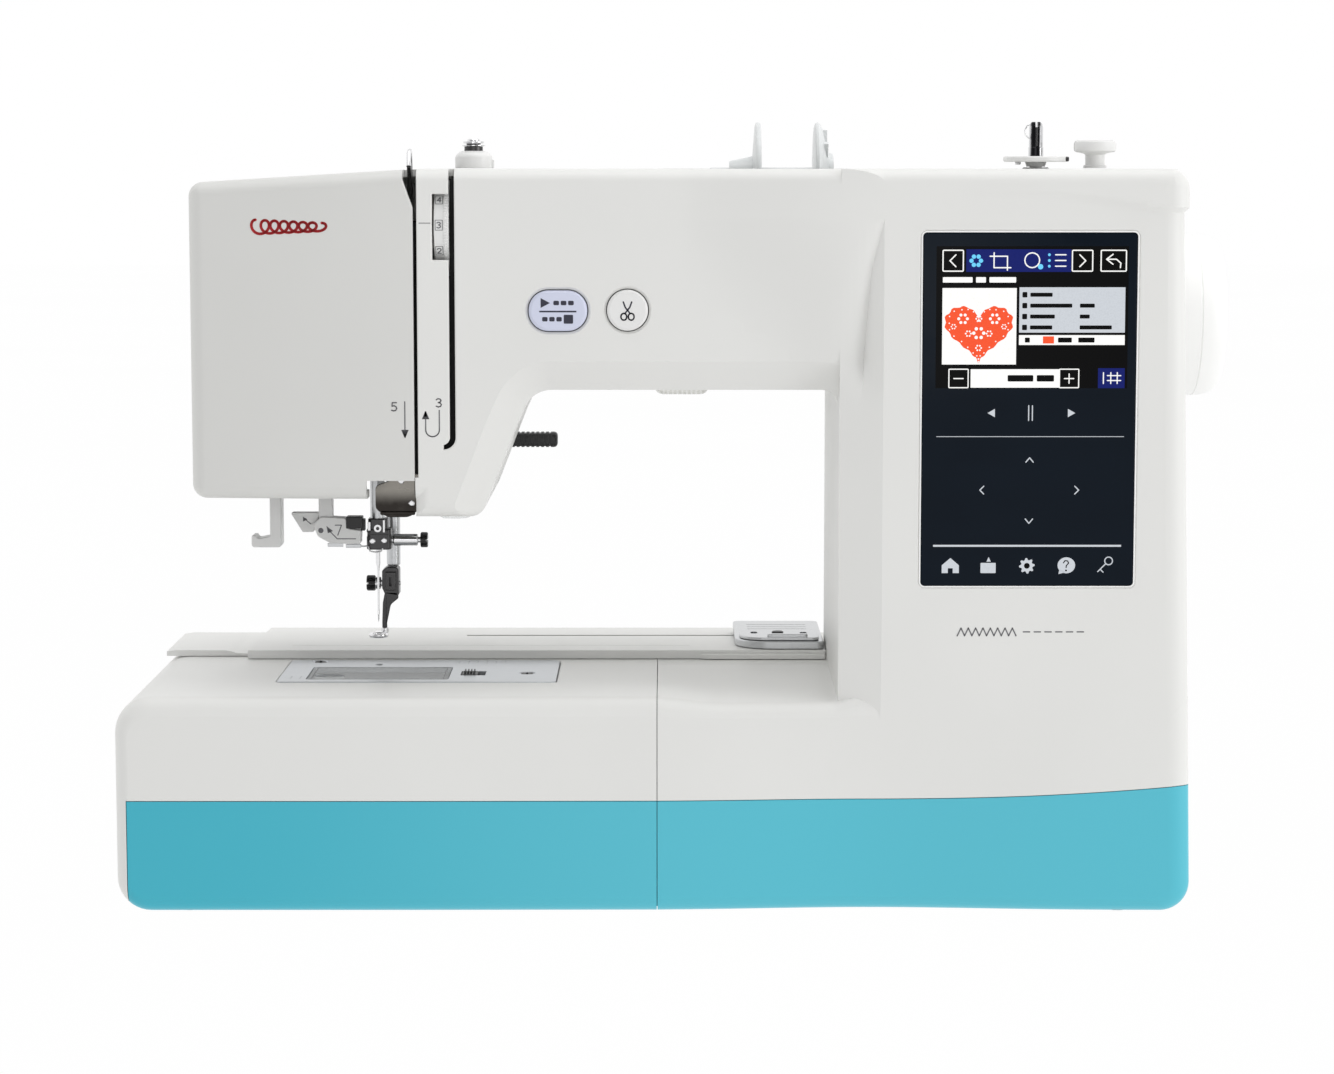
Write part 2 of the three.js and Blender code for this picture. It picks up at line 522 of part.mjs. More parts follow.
// ---------------------------------------------------------------- needle plate and hook cover
const coverX = [plateX[0] + 12, plateX[0] + 72];
const coverY = [plateY[0] + 6, plateY[0] + 41];
const releaseX = [coverX[1] + 5, coverX[1] + 12];
const releaseY = [coverY[0] + 12, coverY[0] + 23];
const RELEASE_TRAVEL = 3;
const plateBase = BED_TOP - PLATE_THICKNESS;
piece('needle_plate', cut(
  prism('z', roundedRectangle(...plateX, ...plateY, 3), plateBase, BED_TOP + 0.4),
  block(coverX[0] - GAP, coverX[1] + GAP, coverY[0] - GAP, coverY[1] + GAP, plateBase - 1, BED_TOP + 1),
  block(releaseX[0] - GAP, releaseX[1] + RELEASE_TRAVEL + GAP, releaseY[0] - GAP, releaseY[1] + GAP,
    plateBase - 1, BED_TOP + 1),
  bar('z', [needleX, needleY, 0], 2.4, plateBase - 1, BED_TOP + 1, 16)), steel);
piece('hook_cover', prism('z', roundedRectangle(...coverX, ...coverY, 2), plateBase, BED_TOP + 0.4),
  clearPlastic);
piece('cover_release', join(
  block(...releaseX, ...releaseY, plateBase, BED_TOP + 0.6),
  block(releaseX[0] + 1, releaseX[1] - 1, releaseY[0] + 2, releaseY[1] - 2, BED_TOP, BED_TOP + 1.8)),
greyPlastic);

// ---------------------------------------------------------------- needle bar
const clampBottom = BED_TOP + CLAMP_LIFT;
const CLAMP = { left: 4.6, right: 6.1, height: 13.5, depth: 5 };
const needleTip = BED_TOP + 19.1;
piece('needle_bar', bar('z', [needleX, needleY, 0], NEEDLE_BAR_RADIUS,
  clampBottom + 5.8, frameTop + 24, 16), steel);
const clampScrewZ = clampBottom + 3.9;
piece('needle_clamp', cut(
  prism('z', roundedRectangle(needleX - CLAMP.left, needleX + CLAMP.right,
    needleY - CLAMP.depth, needleY + CLAMP.depth, 2.5), clampBottom, clampBottom + CLAMP.height),
  bar('z', [needleX, needleY, 0], NEEDLE_BAR_RADIUS + GAP, clampBottom + 5.5, clampBottom + 20, 16),
  bar('z', [needleX, needleY, 0], 1.3, clampBottom - 1, clampBottom + 6, 12),
  bar('x', [0, needleY, clampScrewZ], 1.5 + RUNNING, needleX + 2.6, needleX + 9, 12)), darkSteel);
piece('needle', turned('z', [needleX, needleY, 0], [
  [0, needleTip], [0.35, needleTip + 2.4], [0.45, needleTip + 25], [1, needleTip + 28],
  [1, clampBottom + 4.3], [0, clampBottom + 4.3]], 10), chrome);
piece('needle_clamp_screw', turned('x', [0, needleY, clampScrewZ], [
  [0, needleX + 3], [1.5, needleX + 3], [1.5, needleX + 6.8], [2.6, needleX + 6.8],
  [2.6, needleX + 17.6], [1.3, needleX + 17.6], [1.3, needleX + 18.8], [3.3, needleX + 18.8],
  [3.3, needleX + 21.7], [0, needleX + 21.7]], 16), chrome);

// ---------------------------------------------------------------- presser bar and embroidery foot
const footBottom = BED_TOP + FOOT_LIFT;
const holder = { x: [presserX - 4.6, presserX + 2.7], y: [needleY + 7, presserY + 3.2],
  z: [footBottom + 17.4, footBottom + 29.7] };
const screwAt = [holder.y[0] + 3.4, holder.z[0] + 5];
piece('presser_bar', bar('z', [presserX, presserY, 0], PRESSER_BAR_RADIUS,
  holder.z[1] + GAP, frameTop + 14, 16), steel);
piece('embroidery_foot', cut(
  join(
    block(...holder.x, ...holder.y, ...holder.z),
    block(presserX - 6, presserX - 2.5, holder.y[0], holder.y[0] + 1.6, footBottom, holder.z[0] + 1),
    block(needleX - 3, presserX - 2.5, needleY + 2, holder.y[0] + 1.6, footBottom, footBottom + 1.6),
    bar('z', [needleX, needleY, 0], 4.2, footBottom, footBottom + 1.6, 18)),
  bar('z', [needleX, needleY, 0], 2.4, footBottom - 1, footBottom + 4, 16),
  bar('x', [0, ...screwAt], 1.6 + GAP, holder.x[0] - 1, holder.x[0] + 4, 12)), darkSteel);
piece('foot_screw', turned('x', [0, ...screwAt], [
  [0, holder.x[0] - 6.9], [3.4, holder.x[0] - 6.9], [3.4, holder.x[0] - 0.6], [1.6, holder.x[0] - 0.6],
  [1.6, holder.x[0] + 3.4], [0, holder.x[0] + 3.4]], 16), blackPlastic);

// The lifter: an arm behind the head that carries the grip out to the right.
const lifterY = armRear + 2;
const lifterPivot = [noseRight - 6, noseBottom + 36];
const gripZ = noseBottom + 21.2;
const gripRight = harpX + 3.4;
piece('presser_lifter', join(
  bar('y', [lifterPivot[0], 0, lifterPivot[1]], 8, lifterY, lifterY + 5, 20),
  prism('y', [[lifterPivot[0] - 6, lifterPivot[1]], [lifterPivot[0] + 6, gripZ - 3.4],
    [gripRight - 22, gripZ - 3.4], [gripRight - 22, gripZ + 3.4], [lifterPivot[0] + 7, lifterPivot[1]]],
  lifterY, lifterY + 5),
  block(gripRight - 24, gripRight, lifterY, lifterY + 8, gripZ - 3.4, gripZ + 3.4)), blackPlastic);

// ---------------------------------------------------------------- take-up lever
const leverX = [faceRight - 6.4, faceRight - 4.8];
const leverPivot = [shaftY - 15, shaftZ + 17.5];
const leverTip = [shaftY - 29, ARM_TOP + 8];
piece('take_up_lever', join(
  prism('x', [[leverPivot[0] - 4, leverPivot[1] - 5], [leverPivot[0] + 4, leverPivot[1] - 3],
    [leverPivot[0] + 3, leverPivot[1] + 8], [leverTip[0] + 7, leverTip[1] - 5],
    [leverTip[0] + 4, leverTip[1]], [leverTip[0] - 1, leverTip[1] - 1],
    [leverTip[0] - 5, leverTip[1] - 8], [leverTip[0] - 1, leverTip[1] - 10],
    [leverPivot[0] - 6, leverPivot[1] + 6]], ...leverX)), steel);

// ---------------------------------------------------------------- needle threader
const threaderX = needleX - 53;
const headX = [needleX - 26.7, needleX - 6.4];
piece('threader_lever', join(
  block(threaderX + 8, threaderX + 13, needleY - 13, needleY - 7, HEAD_BOTTOM - 22, HEAD_BOTTOM + 30),
  block(threaderX, threaderX + 13, needleY - 17, needleY - 5, HEAD_BOTTOM - 26.6, HEAD_BOTTOM - 21.4)), partWhite);
piece('threader_head', join(
  prism('y', [[headX[0], HEAD_BOTTOM - 17], [headX[0] + 5, HEAD_BOTTOM - 22], [headX[1], HEAD_BOTTOM - 25.5],
    [headX[1], HEAD_BOTTOM - 14], [headX[0] + 2, HEAD_BOTTOM - 14]], needleY - 10, needleY - 2),
  block(headX[0] + 2, headX[0] + 8, needleY - 9, needleY - 3, HEAD_BOTTOM - 16, HEAD_BOTTOM + 30)), partWhite);

// ---------------------------------------------------------------- tension dial, buttons, screen
const dialY = armFront - 0.4 + DIAL_RADIUS;
piece('tension_dial', turned('x', [0, dialY, dialZ], [
  [0, dialX + 0.6], [DIAL_RADIUS - 1, dialX + 0.6], [DIAL_RADIUS, dialX + 1.2],
  [DIAL_RADIUS, dialX + DIAL_WIDTH - 0.6], [DIAL_RADIUS - 1, dialX + DIAL_WIDTH],
  [0, dialX + DIAL_WIDTH]], 32), partWhite);
piece('start_stop_button', join(
  prism('y', ovalShape(...startAt, ...START_SIZE), armFront - 0.8, armFront + 5),
  block(startAt[0] - 4, startAt[0] + 4, armFront + 4, armFront + 9, startAt[1] - 3, startAt[1] + 3)),
lavender);
piece('cutter_button', join(
  bar('y', [cutterAt[0], 0, cutterAt[1]], CUTTER_RADIUS, armFront - 0.8, armFront + 5, 24),
  block(cutterAt[0] - 3, cutterAt[0] + 3, armFront + 4, armFront + 9, cutterAt[1] - 3, cutterAt[1] + 3)),
partWhite);
piece('display_glass', prism('y', roundedRectangle(...screenX, ...screenZ, 1.5),
  front, front + SCREEN_THICKNESS), glassBlack);
piece('display_module', join(
  block(screenX[0] + 4, screenX[1] - 4, front + SCREEN_THICKNESS + GAP, front + 11,
    screenZ[0] + 4, screenZ[1] - 4),
  block(screenX[0] + 1, screenX[1] - 1, front + 13, front + 14.6, screenZ[0] + 8, screenZ[1] - 8),
  block(screenX[0] + 20, screenX[0] + 28, front + 10, front + 14, screenZ[0] + 30, screenZ[0] + 38)), board);

// ---------------------------------------------------------------- head pieces
const GUARD_THICKNESS = 1.2;
piece('thread_guard_plate', prism('y', [
  [faceRight - 19.6, HEAD_BOTTOM - 10], [faceRight - 0.8, HEAD_BOTTOM - 11],
  [faceRight - 0.8, HEAD_BOTTOM + 7.4], [faceRight - 12, HEAD_BOTTOM + 7.4],
  [faceRight - 19.6, HEAD_BOTTOM + 2]], armFront + 38, armFront + 38 + GUARD_THICKNESS), steel);
const lensX = [faceRight + 6.9, faceRight + 21.8];
piece('head_lamp_lens', prism('z', roundedRectangle(...lensX, armFront + 28, armFront + 58, 5),
  noseBottom - 3.6, noseBottom - GAP), clearPlastic);
piece('arm_lamp_lens', prism('z', roundedRectangle(throat - 75.5, throat - 53, armFront + 38, armFront + 60, 5),
  ARM_UNDERSIDE - 4.2, ARM_UNDERSIDE - GAP), clearPlastic);
piece('thread_cutter', block(headLeft - 2.3, headLeft - GAP, armFront + 48, armFront + 66,
  HEAD_BOTTOM + 4, HEAD_BOTTOM + 9), partWhite);

// ---------------------------------------------------------------- embroidery unit
const unitY = shaftY + 27;
const SLAB_TOP = BED_TOP + 5.5;
const carriageX = [throat - 40, throat - 1];
const CARRIAGE_TRAVEL = 130;
const slotY = [unitY + 39, unitY + 43];
piece('embroidery_unit_cover', cut(
  join(
    block(left + 42, throat - GAP, unitY, rear - 2, BED_TOP + GAP, SLAB_TOP),
    block(throat - 46, throat - GAP, unitY - 12, unitY + 1, BED_TOP + GAP, SLAB_TOP),
    prism('y', [[left + 5, BED_TOP + GAP], [left + 43, BED_TOP + GAP], [left + 43, BED_TOP + 1.4],
      [left + 36, BED_TOP + 1.4], [left + 32, BED_TOP + 3.4], [left + 5, BED_TOP + 3.4]],
    unitY, rear - 6)),
  block(carriageX[0] - CARRIAGE_TRAVEL + 8, throat - 5, ...slotY, BED_TOP + 1.5, SLAB_TOP + 1)), shellWhite);
piece('embroidery_carriage', join(
  block(...carriageX, unitY - 10, rear - 8, SLAB_TOP + GAP, SLAB_TOP + 2),
  block(carriageX[0] + 12, carriageX[0] + 28, slotY[0] + RUNNING, slotY[1] - RUNNING,
    BED_TOP + 2.4, SLAB_TOP + 1)), steel);
piece('hoop_connector', join(
  block(carriageX[0] + 2, carriageX[1] - 2, unitY - 9, unitY + 14, SLAB_TOP + 2.3, SLAB_TOP + 3.6),
  block(carriageX[0] + 10, carriageX[1] - 10, unitY - 8, unitY - 4, SLAB_TOP + 3.5, SLAB_TOP + 5)), steel);

// ---------------------------------------------------------------- spool stand, winder, thread guides
const trayZ = spoolAxis[1] - SPOOL_RADIUS - 2.8;
piece('top_cover', cut(
  block(trayX, trayX + SPOOL_TRAY_LENGTH, ...trayY, trayZ, ARM_TOP),
  block(trayX + 2, trayX + SPOOL_TRAY_LENGTH - 2, trayY[0] + 2, trayY[1] - 2, trayZ + 2, ARM_TOP + 1)),
shellWhite);
const standX = trayX + SPOOL_TRAY_LENGTH - 16.6;
const spoolLine = [0, ...spoolAxis];
const SPOOL_PIN_RADIUS = 3;
piece('spool_stand', turned('x', spoolLine, [
  [0, standX - 46], [SPOOL_PIN_RADIUS, standX - 45], [SPOOL_PIN_RADIUS, standX], [SPOOL_RADIUS - 1, standX],
  [SPOOL_RADIUS, standX + 1.6], [SPOOL_RADIUS - 2, standX + 4], [9, standX + 6], [9, standX + 8.2],
  [0, standX + 8.2]], 32), partWhite);
const capX = standX - 24.8;
piece('spool_cap', turned('x', spoolLine, [
  [SPOOL_PIN_RADIUS + RUNNING, capX - 12], [6, capX - 12], [8, capX - 2], [SPOOL_RADIUS - 1.5, capX - 1],
  [SPOOL_RADIUS, capX], [SPOOL_RADIUS, capX + 1.5], [SPOOL_PIN_RADIUS + RUNNING, capX + 1.5],
  [SPOOL_PIN_RADIUS + RUNNING, capX - 12]], 32), partWhite);
piece('pretension_guide', turned('z', [...pretensionAt, 0], [
  [0, ARM_TOP + GAP], [7.8, ARM_TOP + GAP], [7.8, ARM_TOP + 4], [6, ARM_TOP + 5.4], [3, ARM_TOP + 5.6],
  [3, ARM_TOP + 6.4], [6.2, ARM_TOP + 7.2], [6.2, ARM_TOP + 8], [3, ARM_TOP + 8.8], [3, ARM_TOP + 9.6],
  [4.4, ARM_TOP + 10.2], [4.4, ARM_TOP + 12.5], [0, ARM_TOP + 12.5]], 20), chrome);
const winderPivotY = winderAt[1] + WINDER_SWING;
const winderArmZ = [ARM_TOP - 13, ARM_TOP - 9];
piece('winder_arm', cut(
  join(
    block(winderAt[0] - 6, winderAt[0] + 6, ...[winderAt[1], winderPivotY], ...winderArmZ),
    bar('z', [winderAt[0], winderPivotY, 0], 8, ...winderArmZ, 18),
    bar('z', [...winderAt, 0], 5.6, winderArmZ[0], ARM_TOP + 0.6, 18)),
  bar('z', [...winderAt, 0], 2.6 + RUNNING, winderArmZ[0] - 1, ARM_TOP + 2, 16)), partWhite);
piece('winder_spindle', turned('z', [...winderAt, 0], [
  [0, winderArmZ[0] - 6], [2.6, winderArmZ[0] - 6], [2.6, ARM_TOP + 1], [WINDER_RADIUS - 0.5, ARM_TOP + 1],
  [WINDER_RADIUS, ARM_TOP + 1.6], [WINDER_RADIUS - 0.5, ARM_TOP + 2.4], [3.2, ARM_TOP + 2.4],
  [3.2, ARM_TOP + 18.8], [2.2, ARM_TOP + 19.8], [0, ARM_TOP + 19.8]], 28), chrome);
const stopperAt = [winderAt[0] + 25.2, winderAt[1]];
piece('winder_stopper', turned('z', [...stopperAt, 0], [
  [0, ARM_TOP + GAP], [4.3, ARM_TOP + GAP], [4.3, ARM_TOP + 6], [8.6, ARM_TOP + 7], [9, ARM_TOP + 8],
  [9, ARM_TOP + 10.6], [8, ARM_TOP + 12.2], [0, ARM_TOP + 12.2]], 24), partWhite);

// ---------------------------------------------------------------- carry handle, power inlet, switch
const gripY = [armRear + 3, armRear + 3 + HANDLE.grip];
const handleZ = [ARM_TOP - HANDLE.thickness - 1, ARM_TOP - 1];
piece('carry_handle', join(
  ...handleX.map((x, i) => block(x - i * HANDLE.arm, x + (1 - i) * HANDLE.arm,
    HANDLE.pivotY - HANDLE.thickness / 2, gripY[1], ...handleZ)),
  block(handleX[0], handleX[1], ...gripY, handleZ[0] - 4, handleZ[1])), partWhite);
const sideX = right - 3;
piece('power_inlet', cut(
  join(
    block(sideX - 18, sideX - 0.5, inletAt[0] - 14, inletAt[0] + 14, inletAt[1] - 11, inletAt[1] + 11),
    block(sideX - 22, sideX - 17, inletAt[0] - 10, inletAt[0] + 10, inletAt[1] - 7, inletAt[1] + 7)),
  block(sideX - 15, sideX + 2, inletAt[0] - 10.5, inletAt[0] + 10.5, inletAt[1] - 7, inletAt[1] + 7)),
blackPlastic);
piece('power_switch', prism('y', [
  [sideX - 8, switchAt[1] - 8], [sideX - 1, switchAt[1] - 9.5], [sideX - 2.5, switchAt[1]],
  [sideX + 1, switchAt[1] + 9.5], [sideX - 8, switchAt[1] + 8]],
switchAt[0] - 7.2, switchAt[0] + 7.2), blackPlastic);

export default machine;
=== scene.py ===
import math

import bmesh
import bpy
from mathutils import Matrix, Vector


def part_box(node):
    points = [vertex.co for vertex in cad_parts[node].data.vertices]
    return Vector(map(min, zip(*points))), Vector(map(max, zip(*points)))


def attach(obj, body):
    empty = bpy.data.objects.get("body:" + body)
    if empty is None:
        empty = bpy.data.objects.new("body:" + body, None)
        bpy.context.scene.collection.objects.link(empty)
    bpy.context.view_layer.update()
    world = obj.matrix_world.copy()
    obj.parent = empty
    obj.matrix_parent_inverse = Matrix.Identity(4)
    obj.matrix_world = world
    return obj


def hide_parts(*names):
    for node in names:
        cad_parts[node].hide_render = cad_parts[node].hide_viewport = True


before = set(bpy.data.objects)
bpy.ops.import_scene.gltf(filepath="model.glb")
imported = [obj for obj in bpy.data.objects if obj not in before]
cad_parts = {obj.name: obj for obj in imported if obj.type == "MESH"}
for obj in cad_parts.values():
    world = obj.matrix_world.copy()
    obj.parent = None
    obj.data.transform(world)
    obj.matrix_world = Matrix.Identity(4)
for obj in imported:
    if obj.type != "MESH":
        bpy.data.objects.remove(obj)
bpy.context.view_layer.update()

# Lengths are millimetres in the frame's own axes, up to the stage, and become metres in show().
MM = 0.001


# ------------------------------------------------------------------ places taken from the frame
def span(node):
    """Lowest and highest corner of a frame node, in millimetres."""
    low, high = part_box(node)
    return low / MM, high / MM


HALF_GAP = 0.15       # half of the line between two covers
WALL = 3.0
bed_low, bed_high = span("bed_cover")
face_low, face_high = span("face_cover")
wheel_low, wheel_high = span("handwheel")
front_high = span("front_cover")[1]
band_high = span("bed_band_right")[1]

LEFT, FRONT, REAR = bed_low.x, bed_low.y, bed_high.y
RIGHT = front_high.x - 0.7
FLOOR = bed_low.z
BED_TOP = bed_high.z
ARM_TOP = front_high.z
ARM_FRONT, ARM_REAR = face_low.y, face_high.y
HEAD_LEFT, HEAD_BOTTOM = face_low.x, face_low.z
FACE_RIGHT = face_high.x + HALF_GAP
NOSE_BOTTOM = span("head_lamp_lens")[1].z + 0.3
ARM_UNDERSIDE = span("arm_lamp_lens")[1].z + 0.3
THROAT = span("embroidery_unit_cover")[1].x + 0.3
SEAM = bed_high.x + HALF_GAP
SPLIT_Y = (wheel_low.y + wheel_high.y) / 2
BAND_TOP = span("bed_band_left")[1].z
BAND_RISE = band_high.z - BAND_TOP
NOSE_RIGHT = FACE_RIGHT + 28.5
HARP_LEFT = NOSE_RIGHT + 22.3
NEEDLE_X = sum(corner.x for corner in span("needle_bar")) / 2
NEEDLE_Y = sum(corner.y for corner in span("needle_bar")) / 2

EDGE = 6.0            # depth of the casings' edge rounding
COLUMN_TAPER = 6.2


# ------------------------------------------------------------------ shader building
class Value:
    """A shader socket that takes part in sums, so that node maths reads as arithmetic."""

    def __init__(self, finish, socket):
        self.finish = finish
        self.socket = socket

    def _with(self, operation, *values):
        return self.finish.node("ShaderNodeMath", {"operation": operation}, dict(enumerate(values)))

    def __add__(self, other):
        return self._with("ADD", self, other)

    def __sub__(self, other):
        return self._with("SUBTRACT", self, other)

    def __rsub__(self, other):
        return self._with("SUBTRACT", other, self)

    def __mul__(self, other):
        return self._with("MULTIPLY", self, other)

    __radd__ = __add__
    __rmul__ = __mul__

    def between(self, low, high):
        """0 at low, 1 at high, smooth on the way."""
        settings = {"interpolation_type": "SMOOTHSTEP"}
        return self.finish.node("ShaderNodeMapRange", settings, {"Value": self, 1: low, 2: high})


class Tree:
    """A node tree, and one method that adds any kind of node to it."""

    def __init__(self, tree):
        self.tree = tree

    def node(self, kind, settings=None, inputs=None, output=0):
        made = self.tree.nodes.new(kind)
        for key, value in (settings or {}).items():
            setattr(made, key, value)
        for key, value in (inputs or {}).items():
            if isinstance(value, Value):
                self.tree.links.new(value.socket, made.inputs[key])
            else:
                made.inputs[key].default_value = value
        return Value(self, made.outputs[output])

    def tint(self, amount, first, second):
        """A colour that goes from the first to the second with the amount."""
        inputs = {0: amount, 6: (*first, 1), 7: (*second, 1)}
        return self.node("ShaderNodeMix", {"data_type": "RGBA"}, inputs, output=2)


class Finish(Tree):
    """One material: its principled shader and the nodes that feed it."""

    def __init__(self, name, colour, roughness, metallic=0.0, **fixed):
        self.material = bpy.data.materials.new(name)
        self.material.use_nodes = True
        super().__init__(self.material.node_tree)
        self.shader = self.tree.nodes["Principled BSDF"]
        self.shader.inputs["Base Color"].default_value = (*colour, 1)
        self.shader.inputs["Roughness"].default_value = roughness
        self.shader.inputs["Metallic"].default_value = metallic
        for key, value in fixed.items():
            self.shader.inputs[key.replace("_", " ")].default_value = value

    def feed(self, key, value):
        self.tree.links.new(value.socket, self.shader.inputs[key])

    def place(self):
        """Where a point of the surface is, in metres in the machine's frame."""
        return self.node("ShaderNodeTexCoord", output="Object")

    def noise(self, scale, detail=2.0, stretch=(1, 1, 1)):
        place = self.node("ShaderNodeMapping", {}, {"Vector": self.place(), "Scale": stretch})
        return self.node("ShaderNodeTexNoise", {}, {"Vector": place, "Scale": scale, "Detail": detail})

    def bump(self, height, strength, depth_mm):
        inputs = {"Height": height, "Strength": strength, "Distance": depth_mm * MM}
        self.feed("Normal", self.node("ShaderNodeBump", {}, inputs))


def shade(colour, factor):
    return tuple(min(part * factor, 1) for part in colour)


def moulded(name, colour, roughness, grain=0.12, cloud=0.03, **fixed):
    """Moulded plastic: a fine spark-eroded grain, and slow changes of tone and gloss."""
    finish = Finish(name, colour, roughness, **fixed)
    slow = finish.noise(14, 3)
    finish.feed("Base Color", finish.tint(slow, shade(colour, 1 - cloud), shade(colour, 1 + cloud)))
    finish.feed("Roughness", finish.noise(45, 3) * 0.12 + (roughness - 0.06))
    finish.bump(finish.noise(2600, 2) + finish.noise(900, 1) * 0.4, grain, 0.05)
    return finish.material


def metal(name, colour, roughness, stretch=(1, 1, 1), grain=0.1, scale=900):
    """Worked metal with a fine grain along one axis and faint handling marks."""
    finish = Finish(name, colour, roughness, 1.0)
    lines = finish.noise(scale, 3, stretch)
    marks = finish.noise(70, 4)
    finish.feed("Base Color", finish.tint(marks, shade(colour, 0.9), shade(colour, 1.06)))
    finish.feed("Roughness", lines * 0.14 + marks * 0.1 + (roughness - 0.1))
    finish.bump(lines, grain, 0.03)
    return finish.material


CASING_WHITE = (0.76, 0.76, 0.74)
TRIM_WHITE = (0.78, 0.78, 0.77)
casing_white = moulded("casing_white", CASING_WHITE, 0.42)
# A darker copy of the casing white for the head's face cover: painted shade, so that the face reads greyer than the
# rest of the casing.
shaded_head_white = moulded("shaded_head_white", (0.67, 0.67, 0.65), 0.42)
trim_white = moulded("trim_white", TRIM_WHITE, 0.38)
# Near black for the sheets behind the thread slots: painted shade inside the slots.
slot_shade_black = moulded("slot_shade_black", (0.003, 0.003, 0.003), 0.8)
lavender = moulded("button_lavender", (0.62, 0.65, 0.79), 0.35, cloud=0.01)
black_plastic = moulded("black_plastic", (0.013, 0.013, 0.014), 0.42, grain=0.2)
grey_plastic = moulded("grey_plastic", (0.22, 0.23, 0.24), 0.5)
foot_rubber = moulded("foot_rubber", (0.03, 0.03, 0.032), 0.85, grain=0.5)
board_green = moulded("board_green", (0.02, 0.10, 0.05), 0.5, cloud=0.2)
brushed_steel = metal("brushed_steel", (0.60, 0.61, 0.62), 0.28, (1, 14, 1))
plate_steel = metal("plate_steel", (0.56, 0.58, 0.60), 0.34, (0.06, 1, 1), 0.12)
dark_steel = metal("dark_steel", (0.075, 0.074, 0.075), 0.3, (1, 1, 0.2))
bright_chrome = metal("bright_chrome", (0.80, 0.80, 0.81), 0.12, grain=0.02)
cast_metal = metal("cast_metal", (0.42, 0.43, 0.44), 0.5, grain=0.5, scale=240)
mark_grey = moulded("mark_grey", (0.14, 0.14, 0.15), 0.5)
mark_navy = moulded("mark_navy", (0.02, 0.02, 0.04), 0.5)
mark_red = moulded("mark_red", (0.45, 0.008, 0.012), 0.45)


def band_material():
    """The band's blue-green, darker towards the left end and at its right-end colour from near the middle on."""
    finish = Finish("band_paint", (0.06, 0.42, 0.50), 0.34)
    place = finish.node("ShaderNodeSeparateXYZ", {}, {0: finish.place()})
    along = place.between(LEFT * MM, 0.02)
    cloud = finish.noise(9, 3)
    finish.feed("Base Color", finish.tint(along * 0.9 + cloud * 0.1, (0.036, 0.43, 0.55), (0.085, 0.51, 0.63)))
    finish.feed("Roughness", finish.noise(50, 3) * 0.1 + 0.27)
    finish.bump(finish.noise(2200, 2), 0.08, 0.04)
    return finish.material


def clear_material():
    finish = Finish("clear_plastic", (0.82, 0.85, 0.86), 0.1, Alpha=0.35)
    finish.feed("Roughness", finish.noise(60, 3) * 0.12 + 0.04)
    finish.feed("Alpha", finish.noise(120, 2) * 0.1 + 0.28)
    return finish.material


def lens_material():
    """A frosted lamp lens, with faint ribs across it."""
    finish = Finish("lamp_lens", (0.86, 0.86, 0.82), 0.2)
    wave = finish.node("ShaderNodeTexWave", {}, {"Vector": finish.place(), "Scale": 160.0})
    finish.feed("Base Color", finish.tint(wave, (0.78, 0.78, 0.74), (0.92, 0.92, 0.9)))
    finish.feed("Roughness", wave * 0.2 + 0.1)
    finish.bump(wave, 0.4, 0.2)
    return finish.material


band_paint = band_material()
clear_plastic = clear_material()
lamp_lens = lens_material()
wheel_white = moulded("wheel_white", (0.93, 0.93, 0.92), 0.36, cloud=0.01)
translucent_white = moulded("translucent_white", (0.72, 0.74, 0.74), 0.3, cloud=0.02)
mark_white = moulded("mark_white", (0.8, 0.8, 0.8), 0.5)


# ------------------------------------------------------------------ mesh building
def mesh_from(vertices, faces, name="work"):
    mesh = bpy.data.meshes.new(name)
    mesh.from_pydata([Vector(v) for v in vertices], [], faces)
    mesh.update()
    return mesh


AXES = {"x": (1, 2, 0), "y": (0, 2, 1), "z": (0, 1, 2)}


def placed(axis, a, b, along):
    """A point given across an axis and along it: (y, z) across x, (x, z) across y, (x, y) across z."""
    point = [0.0, 0.0, 0.0]
    for slot, value in zip(AXES[axis], (a, b, along)):
        point[slot] = value
    return point


def outward(mesh):
    """Turns every face of a closed mesh outwards."""
    work = bmesh.new()
    work.from_mesh(mesh)
    bmesh.ops.recalc_face_normals(work, faces=work.faces)
    work.to_mesh(mesh)
    work.free()
    return mesh


def loft(sections):
    """A closed skin through sections that have the same number of points."""
    around = len(sections[0])
    vertices = [point for section in sections for point in section]
    faces = [list(range(around)), [len(vertices) - around + i for i in range(around)]]
    for row in range(len(sections) - 1):
        for i in range(around):
            a = row * around + i
            b = row * around + (i + 1) % around
            faces.append((a, b, b + around, a + around))
    return outward(mesh_from(vertices, faces))


def prism(axis, outline, start, end, flare=0.0, depth=1.0):
    """An outline pushed along an axis. A flare widens its start end, as a rim's chamfer does."""
    def ring(grow, along):
        if not grow:
            return [placed(axis, a, b, along) for a, b in outline]
        return [placed(axis, a, b, along) for a, b in grown(outline, grow)]
    rings = [ring(flare, start), ring(0, start + depth)] if flare else [ring(0, start)]
    return loft([*rings, ring(0, end)])


def grown(outline, amount):
    """An outline moved outwards, point by point. Negative amounts move it inwards."""
    area = sum(a[0] * b[1] - b[0] * a[1] for a, b in zip(outline, outline[1:] + outline[:1]))
    sign = 1 if area > 0 else -1
    result = []
    for i, point in enumerate(outline):
        before = Vector(outline[i - 1])
        here = Vector(point)
        after = Vector(outline[(i + 1) % len(outline)])
        first = (here - before).normalized()
        second = (after - here).normalized()
        normal = Vector((first.y + second.y, -first.x - second.x))
        if normal.length < 1e-6:
            normal = Vector((first.y, -first.x))
        normal.normalize()
        reach = amount / max(normal.dot(Vector((first.y, -first.x))), 0.4)
        result.append(tuple(here + normal * reach * sign))
    return result


def oval(a, b, wide, high, sides=40):
    return [(a + wide * math.cos(2 * math.pi * i / sides), b + high * math.sin(2 * math.pi * i / sides))
            for i in range(sides)]


